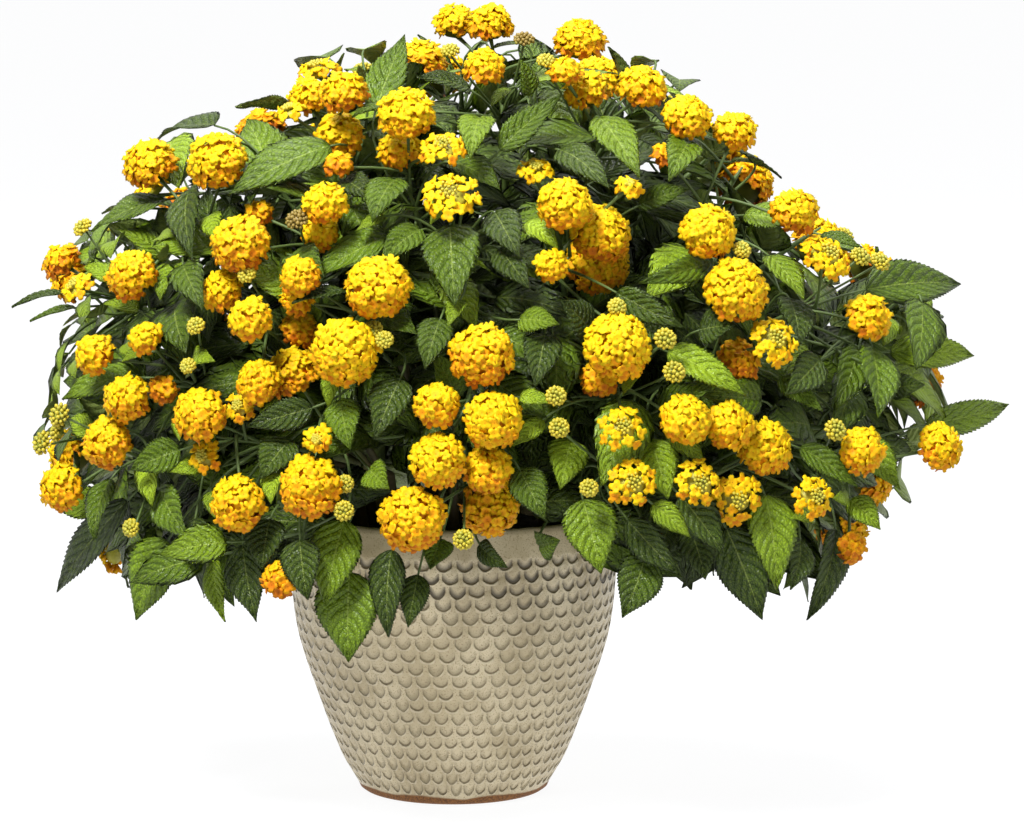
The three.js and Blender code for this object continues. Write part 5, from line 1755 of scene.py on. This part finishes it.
# %% The bud material
bud_finish = new_material("lantana_bud")
place = node(bud_finish, "TexCoord").outputs["Object"]
ripe = node(bud_finish, "Attribute", dict(attribute_name="ripe")).outputs["Fac"]
speck = node(bud_finish, "TexNoise", Vector=place, Scale=500, Detail=2)
green = node(bud_finish, "Mix", BLEND, speck, "#6F7C22", "#A3A336")
yellow = node(bud_finish, "Mix", BLEND, speck, "#B69F18", "#D2B925")
brown = node(bud_finish, "Mix", BLEND, speck, "#5C4B1C", "#9A8233")
fresh = node(bud_finish, "Mix", BLEND, ripe, green, yellow)
dry = node(bud_finish, "MapRange", SMOOTH, ripe, 0.0, -0.8)
colour = node(bud_finish, "Mix", BLEND, dry, fresh, brown)
rough = node(bud_finish, "Bump", Strength=0.4, Distance=0.0003, Height=speck)
skin = node(bud_finish, "BsdfPrincipled", Base_Color=colour, Roughness=0.55, Normal=rough)
node(bud_finish, "OutputMaterial", Surface=skin)


# %% Beads on a ball
BUDS_IN_HEAD = Thing(lowest=22, count=18, size=1.35, core=0.6, core_ripe=0.25)
BUDS_IN_CLUSTER = Thing(lowest=112, count=38, size=1.6, core=0.7)
BUD_STRETCH = 1.25


def bud_stamps(head, draw, kind, spent=0.0):
    """A spiral of beads, from a head's top down to its lowest tilt in degrees."""
    low = math.cos(math.radians(kind.lowest))
    reach = 1 - 0.6 * kind.size / head.radius
    stamps = []
    for k in range(kind.count):
        share = (k + 0.5) / kind.count
        tilt, turn = math.acos(1 - share * (1 - low)), k * GOLDEN_TURN
        point, out = on_head(head, tilt, turn, reach), out_of_head(head, tilt, turn)
        roll = between(draw, 0, 1)
        spots = set_on(BEAD, point, out, roll, kind.size * between(draw, 0.85, 1.1), BUD_STRETCH)
        ripe = between(draw, 0.1, 0.6) + 0.5 * share - spent
        stamps.append((BEAD, spots, dict(ripe=np.array([ripe]))))
    return stamps


def young_stamps(head, draw):
    """The buds in the middle of a flat head, over a small core."""
    core = core_spots(head, BUDS_IN_HEAD.core)
    marks = dict(ripe=np.array([BUDS_IN_HEAD.core_ripe]))
    return [*bud_stamps(head, draw, BUDS_IN_HEAD), (GLOBE, core, marks)]


# %% The sprays
HEAD_STALK_RADII = [1.5, 1.2, 1.1, 1.1, 1.2, 2.0]


def head_stalk_stamp(spray, k):
    head = spray.heads[k]
    start, end = fork_of(spray, k) if k else spray.foot, underside(head)
    points = bend(start, end + head.axis * 3, towards(start, end) * 0.7 + head.axis * 0.3, HEAD_RINGS[0])
    return tube_stamp(points, HEAD_STALK_RADII, HEAD_RINGS)


draw = seeded(83)
for k, spray in enumerate(sprays):
    name = f"flower_spray_{number_of(k)}"
    flowers, young = [], []
    for head in spray.heads:
        high = (head.centre.z - DOME_CENTRE.z) / DOME_AXES.z
        head.ripe = between(draw, 0, 0.22) - 0.08 * high
        flowers += floret_stamps(head, draw)
        if head.kind == "flat":
            young += young_stamps(head, draw)
    stalks = [head_stalk_stamp(spray, m) for m in range(len(spray.heads))]
    stamped_piece(flowers, f"florets_{number_of(k)}", petal_finish, "flowers", name)
    stamped_piece(stalks, f"stalks_{number_of(k)}", stem_finish, "flowers", name)
    if young:
        stamped_piece(young, f"young_buds_{number_of(k)}", bud_finish, "flowers", name)
print("heads in flower:", sum(len(spray.heads) for spray in sprays))

# %% The bud clusters
SPENT_SHARE = 0.12

for k, limb in enumerate(limbs):
    stamps = []
    for bud in buds:
        if bud.limb is limb:
            spent = between(draw, 0.9, 1.6) if draw() < SPENT_SHARE else 0
            stamps += bud_stamps(bud, draw, BUDS_IN_CLUSTER, spent)
            core = set_on(GLOBE, bud.centre, bud.axis, 0, BUDS_IN_CLUSTER.core * bud.radius, 0.7)
            stamps.append((GLOBE, core, dict(ripe=np.array([-spent]))))
    if stamps:
        name = f"leafy_stem_{number_of(k)}"
        stamped_piece(stamps, f"bud_clusters_{number_of(k)}", bud_finish, "foliage", name)
print("bud clusters:", len(buds))

# %% [markdown]
# ## The pot
#
# Stoneware, thrown on a wheel and pressed with a rounded tool in rows of scallops about 15 mm wide
# and 10 mm high, each row set over by a third. A glossy beige glaze runs thin on the lips and pools
# darker in the hollows. The glaze's colour adds painted shade in the hollows and a painted highlight
# on the lips. The glaze stops just above the foot, whose bare clay is brown.

# %% The wall and its scallops
POT_WALL = [(70.5, 0), (72.5, 5), (85.5, 28), (106, 83), (117.5, 121), (122.5, 165), (121.5, 194),
            (119.5, 208)]
POT_THICKNESS, POT_FLOOR = 9, 14
SCALLOPS_ROUND, POINTS_PER_SCALLOP = 51, 7
ROW_PITCH, POINTS_PER_ROW = 9.7, 7
FIRST_ROW, LAST_ROW = 7, 191
SET_OVER = 0.31
PRESS_DEPTH = 1.6
HALF_SCALLOP, LOWEST, SAG, REACH = 0.4, 0.12, 0.5, 0.6

wall_radii, wall_heights = np.array(POT_WALL, float).T


def wall_radius(height):
    """The wall's outline, a smooth curve through the given radii."""
    k = int(np.clip(np.searchsorted(wall_heights, height, side="left") - 1, 0, len(wall_heights) - 2))
    low, high = wall_heights[k], wall_heights[k + 1]
    t = min(max((height - low) / (high - low), 0), 1)

    def slope(m):
        a, b = max(m - 1, 0), min(m + 1, len(wall_heights) - 1)
        return (wall_radii[b] - wall_radii[a]) / (wall_heights[b] - wall_heights[a]) * (high - low)

    return (wall_radii[k] * (2 * t ** 3 - 3 * t ** 2 + 1) + wall_radii[k + 1] * (3 * t ** 2 - 2 * t ** 3)
            + slope(k) * (t ** 3 - 2 * t ** 2 + t) + slope(k + 1) * (t ** 3 - t ** 2))


def scallop_press(turn, height):
    """How deep the wall is pressed, 0 to 1: deepest along a scallop's round lower edge."""
    rows = (height - FIRST_ROW) / ROW_PITCH
    row = np.floor(rows)
    x = (turn / (2 * np.pi) * SCALLOPS_ROUND + SET_OVER * row) % 1 - 0.5
    edge = LOWEST + SAG * (x / HALF_SCALLOP) ** 2
    above = rows - row - edge
    press = np.clip(above / 0.1, 0, 1) * np.clip(1 - above / REACH, 0, 1)
    return press * (np.abs(x) < HALF_SCALLOP) * (height > FIRST_ROW) * (height < LAST_ROW)


print("the pot's greatest radius, mm:", round(max(wall_radius(height) for height in range(200)), 1))

# %% [markdown]
# The glaze repeats the scallops' formula in nodes, sharper than the mesh can hold them. The turn
# round the axis comes from the object's own coordinates. A chance number for each scallop shifts
# it and makes its line stronger or weaker.

# %% The scallop that a point is in
glaze = new_material("stoneware_glaze")
place = node(glaze, "TexCoord").outputs["Object"]
axes = node(glaze, "SeparateXYZ", Vector=place).outputs
turn = node(glaze, "Math", dict(operation="ARCTAN2"), axes[1], axes[0])
rows = node(glaze, "Math", TIMES_PLUS, axes[2], 1000 / ROW_PITCH, -FIRST_ROW / ROW_PITCH)
row = node(glaze, "Math", FLOOR, rows)
cells = node(glaze, "Math", TIMES_PLUS, turn, SCALLOPS_ROUND / (2 * math.pi), 60.0)
cells = node(glaze, "Math", TIMES_PLUS, row, SET_OVER, cells)
column = node(glaze, "Math", FLOOR, cells)
wrapped = node(glaze, "Math", dict(operation="FLOORED_MODULO"), column, SCALLOPS_ROUND)
cell = node(glaze, "CombineXYZ", X=wrapped, Y=row)
luck = node(glaze, "TexWhiteNoise", dict(noise_dimensions="2D"), Vector=cell)
hand = node(glaze, "TexNoise", Vector=place, Scale=90, Detail=1)
shift = node(glaze, "Math", TIMES_PLUS, luck, 0.14, -0.57)
x = node(glaze, "Math", PLUS, node(glaze, "Math", LESS, cells, column), shift)
tremble = node(glaze, "Math", TIMES_PLUS, hand, 0.3, -0.15)
up = node(glaze, "Math", PLUS, node(glaze, "Math", LESS, rows, row), tremble)
over_foot = node(glaze, "MapRange", SMOOTH, rows, -0.1, 0.1)
under_rim = node(glaze, "MapRange", SMOOTH, axes[2], LAST_ROW * MM, (LAST_ROW - 1) * MM)
in_rows = node(glaze, "Math", TIMES, over_foot, under_rim)
print("scallops:", SCALLOPS_ROUND * round((LAST_ROW - FIRST_ROW) / ROW_PITCH))

# %% [markdown]
# Each scallop has a round lower edge. Above it lies a hollow, darkest at the edge, with a thin dark
# line. The hollow and the line are partly pooled glaze and partly painted shade, darker still in the
# upper rows. Below the line lies the pale lip, partly thin glaze and partly a painted highlight. The
# bow is 0 mid scallop and 1 at its ends.

# %% The scallop's round edge
bow = node(glaze, "Math", SIZE, node(glaze, "Math", TIMES, x, 1 / HALF_SCALLOP))
bow = node(glaze, "Math", POWER, bow, 2.0)
sag = node(glaze, "Math", TIMES_PLUS, luck, -0.16, SAG)
edge = node(glaze, "Math", TIMES_PLUS, luck, 0.1, LOWEST - 0.04)
edge = node(glaze, "Math", TIMES_PLUS, bow, sag, edge)
steep = node(glaze, "Math", TIMES_PLUS, bow, 0.7, 1.0)
above = node(glaze, "Math", dict(operation="DIVIDE"), node(glaze, "Math", LESS, up, edge), steep)
within = node(glaze, "Math", TIMES, node(glaze, "MapRange", SMOOTH, bow, 1.05, 0.75), in_rows)

# %% The scallop's line, hollow and lip
started = node(glaze, "MapRange", SMOOTH, above, -0.05, 0.02)
line = node(glaze, "Math", TIMES, started, node(glaze, "MapRange", SMOOTH, above, 0.17, 0.06))
line = node(glaze, "Math", TIMES, line, within)
line = node(glaze, "Math", TIMES, line, node(glaze, "Math", TIMES_PLUS, luck, 0.7, 0.2))
hollow = node(glaze, "Math", TIMES, started, node(glaze, "MapRange", None, above, 0.55, 0.05))
hollow = node(glaze, "Math", TIMES, hollow, within)
hollow = node(glaze, "Math", TIMES, hollow, node(glaze, "Math", TIMES_PLUS, luck, -0.5, 1.0))
lip = node(glaze, "MapRange", SMOOTH, above, -0.24, -0.1)
lip = node(glaze, "Math", TIMES, lip, node(glaze, "MapRange", SMOOTH, above, -0.01, -0.06))
lip = node(glaze, "Math", TIMES, lip, within)

# %% The glaze's colours
upper = node(glaze, "MapRange", SMOOTH, axes[2], 0.135, 0.17)
cloud = node(glaze, "TexNoise", Vector=place, Scale=26, Detail=5)
speck = node(glaze, "TexNoise", Vector=place, Scale=900, Detail=3)
clouded = node(glaze, "MapRange", SMOOTH, cloud, 0.35, 0.65)
body = node(glaze, "Mix", BLEND, clouded, "#B9A985", "#D2C3A0")
freckles = node(glaze, "MapRange", SMOOTH, speck, 0.52, 0.7)
specked = node(glaze, "Mix", BLEND, freckles, body, "#9F8C69")
# Partly painted highlight: the lip is mixed to a paler cream, partly for the glaze that runs thin there.
thin_glaze_and_highlight = node(glaze, "Mix", BLEND, node(glaze, "Math", TIMES, lip, 0.55), specked, "#DDD0B2")
# Partly pooled glaze and partly painted shade: the hollows are darkened, more in the upper rows.
deep = node(glaze, "Mix", BLEND, upper, "#8A7E5E", "#4A412F")
pool_and_shade = node(glaze, "Math", TIMES, hollow, node(glaze, "Math", TIMES_PLUS, upper, 0.75, 0.5))
pooled_and_shaded = node(glaze, "Mix", BLEND, pool_and_shade, thin_glaze_and_highlight, deep)
# The thin line at each hollow's edge is partly pooled glaze and partly painted shade.
lined_and_shaded = node(glaze, "Mix", BLEND, line, pooled_and_shaded, "#675839")
gritty = node(glaze, "MapRange", SMOOTH, speck, 0.35, 0.65)
clay = node(glaze, "Mix", BLEND, gritty, "#5A3617", "#905E29")
level = node(glaze, "Math", TIMES_PLUS, cloud, 0.008, -0.004)
level = node(glaze, "Math", PLUS, axes[2], level)
bare = node(glaze, "MapRange", SMOOTH, level, 0.0066, 0.0048)
colour = node(glaze, "Mix", BLEND, bare, lined_and_shaded, clay)

# %% The glaze's surface
shine = node(glaze, "Math", TIMES_PLUS, bare, 0.45, 0.32)
shape = node(glaze, "Math", LESS, node(glaze, "Math", TIMES, lip, 0.3), hollow)
carved = node(glaze, "Bump", Strength=0.8, Distance=0.0016, Height=shape)
grit = node(glaze, "Bump", Strength=0.35, Distance=0.0004, Height=speck, Normal=carved)
skin = node(glaze, "BsdfPrincipled", Base_Color=colour, Roughness=shine, IOR=1.5, Normal=grit)
node(glaze, "OutputMaterial", Surface=skin)
print("glaze nodes:", len(glaze.node_tree.nodes))

# %% [markdown]
# Cutting nearly a thousand scallops out one by one would be slow and leave ragged faces. Instead
# the pot's outline is spun round the axis, finely enough that each scallop has its own points, and
# the outside is then pressed in by the formula.

# %% Spinning an outline
def chain_of(bm, points):
    """Points joined in a row, with the edges between them."""
    chain = [bm.verts.new(point) for point in points]
    return chain, [bm.edges.new(pair) for pair in zip(chain, chain[1:])]


def spun(outline, steps):
    """A closed body from an outline of (radius, height)."""
    bm = bmesh.new()
    chain, edges = chain_of(bm, [(radius, 0, height) for radius, height in outline])
    bmesh.ops.spin(bm, geom=chain + edges, cent=(0, 0, 0), axis=(0, 0, 1), angle=2 * math.pi,
                   steps=steps, use_merge=True)
    bmesh.ops.remove_doubles(bm, verts=bm.verts, dist=0.001)
    bmesh.ops.recalc_face_normals(bm, faces=bm.faces)
    return bm


# %% Pressing the pot
INNER_HEIGHTS = (200, 180, 120, 60, POT_FLOOR)
RIM = [(119.5, 200), (119.5, 207), (118.9, 210), (117.3, 211.7), (115.5, 212), (113.6, 211.3), (112.2, 209)]


def pot_outline():
    steps = round((LAST_ROW - 4 - FIRST_ROW + 2) / ROW_PITCH * POINTS_PER_ROW)
    wall = [(wall_radius(height), height) for height in np.linspace(5, LAST_ROW + 1, steps)]
    inner = [(wall_radius(height) - POT_THICKNESS, height) for height in INNER_HEIGHTS]
    foot = [(0, 0), (wall_radius(0) - 2, 0), (wall_radius(2), 2)]
    return [*foot, *wall, *RIM, *inner, (0, POT_FLOOR)]


pot = mesh_of(spun(pot_outline(), SCALLOPS_ROUND * POINTS_PER_SCALLOP), "glazed_pot")
spots = points_of(pot)
turn = np.arctan2(spots[:, 1], spots[:, 0])
reach = np.hypot(spots[:, 0], spots[:, 1])
outside = reach > np.array([wall_radius(height) for height in spots[:, 2]]) - 1
inward = PRESS_DEPTH * scallop_press(turn, spots[:, 2]) * outside
spots[:, :2] *= (1 - inward / np.maximum(reach, 1))[:, None]
place_points_at(pot, spots)
finish_piece(pot, "glazed_pot", glaze, "glazed_pot", "pot")
print("pot faces:", len(pot.polygons))

# %% [markdown]
# ## The soil
#
# Dark potting mix with lumps of peat. The foliage hides nearly all of it, so loose crumbs aren't
# modelled: its body fills the pot, its top is crumpled by chance, and bump gives the crumbs.

# %% The soil material
soil_finish = new_material("potting_mix")
place = node(soil_finish, "TexCoord").outputs["Object"]
crumb = node(soil_finish, "TexVoronoi", Vector=place, Scale=260).outputs["Distance"]
dust = node(soil_finish, "TexNoise", Vector=place, Scale=90, Detail=6)
peat = node(soil_finish, "Mix", BLEND, dust, "#160E07", "#332417")
between_crumbs = node(soil_finish, "MapRange", SMOOTH, crumb, 0.2, 0.7)
colour = node(soil_finish, "Mix", BLEND, between_crumbs, peat, "#100C07")
lumps = node(soil_finish, "Bump", Strength=1.0, Distance=0.002, Height=crumb)
skin = node(soil_finish, "BsdfPrincipled", Base_Color=colour, Roughness=0.95, Normal=lumps)
node(soil_finish, "OutputMaterial", Surface=skin)

# %% Soil
SOIL_CROWN, SOIL_RADIUS = 4, 112
SOIL_STEPS = 120
LUMP, LUMPY_RADIUS = 1.4, 108


def soil_outline():
    top = [(0, SOIL_TOP + SOIL_CROWN)]
    top += [(r, SOIL_TOP + SOIL_CROWN * (1 - (r / SOIL_RADIUS) ** 2)) for r in range(4, LUMPY_RADIUS + 1, 4)]
    rim = (wall_radius(SOIL_TOP) - POT_THICKNESS - GAP - 0.5, SOIL_TOP - 3)
    side = [(wall_radius(z) - POT_THICKNESS - GAP, z) for z in (180, 120, 60, POT_FLOOR + GAP)]
    return [*top, rim, *side, (0, POT_FLOOR + GAP)]


bm = spun(soil_outline(), SOIL_STEPS)
draw = seeded(97)
for vertex in bm.verts:
    if vertex.co.z > SOIL_TOP - 1 and vertex.co.xy.length < LUMPY_RADIUS:
        vertex.co.z += between(draw, -LUMP, LUMP)
bmesh.ops.transform(bm, matrix=Matrix.Scale(MM, 4), verts=bm.verts)
soil = mesh_of(bm, "potting_mix")
finish_piece(soil, "potting_mix", soil_finish, "soil", "soil")
print("soil faces:", len(soil.polygons))

# %% [markdown]
# ## Studio
#
# A pale floor that curves up far behind, a pale sky and three soft lamps. The floor glows nearly
# white, and as its own colour is dark, only a faint shadow falls on it. The strongest lamp is at
# the front and above, to the left. A weak one fills from the right, and one lights the crown.

# %% Floor
floor_finish = new_material("studio_floor")
skin = node(floor_finish, "BsdfPrincipled", Base_Color="#4C4E52", Roughness=0.9,
            Emission_Color="#FFFFFF", Emission_Strength=0.925)
node(floor_finish, "OutputMaterial", Surface=skin)

HALF_FLOOR, FLAT_TO, BEND, WALL_TOP = 60, 6, 3, 12
turns = np.linspace(0.1, math.pi / 2, 12)
curve = [(FLAT_TO + BEND * math.sin(turn), BEND - BEND * math.cos(turn)) for turn in turns]
profile = [(-HALF_FLOOR, 0), (FLAT_TO, 0), *curve, (FLAT_TO + BEND, WALL_TOP)]
bm = bmesh.new()
_, edges = chain_of(bm, [(-HALF_FLOOR, y, z) for y, z in profile])
drawn = bmesh.ops.extrude_edge_only(bm, edges=edges)
bmesh.ops.translate(bm, verts=parts_of(drawn, bmesh.types.BMVert), vec=(2 * HALF_FLOOR, 0, 0))
floor_mesh = mesh_of(bm, "floor")
floor_mesh.materials.append(floor_finish)
floor_mesh.shade_smooth()
floor = bpy.data.objects.new("floor", floor_mesh)
bpy.context.scene.collection.objects.link(floor)

# %% Light
world = bpy.data.worlds.new("studio")
world.use_nodes = True
sky = world.node_tree.nodes["Background"]
sky.inputs["Color"].default_value = (0.92, 0.96, 1.0, 1)
sky.inputs["Strength"].default_value = 0.18
bpy.context.scene.world = world
bpy.context.scene.view_settings.view_transform = "Standard"


def lamp(name, place, aim, size, power):
    """A square lamp. Its place, aim and size are in metres and its power in watts."""
    data = bpy.data.lights.new(name, "AREA")
    data.size = size
    data.energy = power
    made = bpy.data.objects.new(name, data)
    made.location = place
    made.rotation_euler = (Vector(aim) - Vector(place)).to_track_quat("-Z", "Y").to_euler()
    bpy.context.scene.collection.objects.link(made)


lamp("key", (-1.0, -2.0, 2.9), (0, 0, 0.35), 0.9, 230)
lamp("fill", (2.2, -1.6, 1.6), (0, 0, 0.3), 1.6, 20)
lamp("top", (0.2, 0.6, 2.8), (0, 0, 0.4), 1.6, 65)
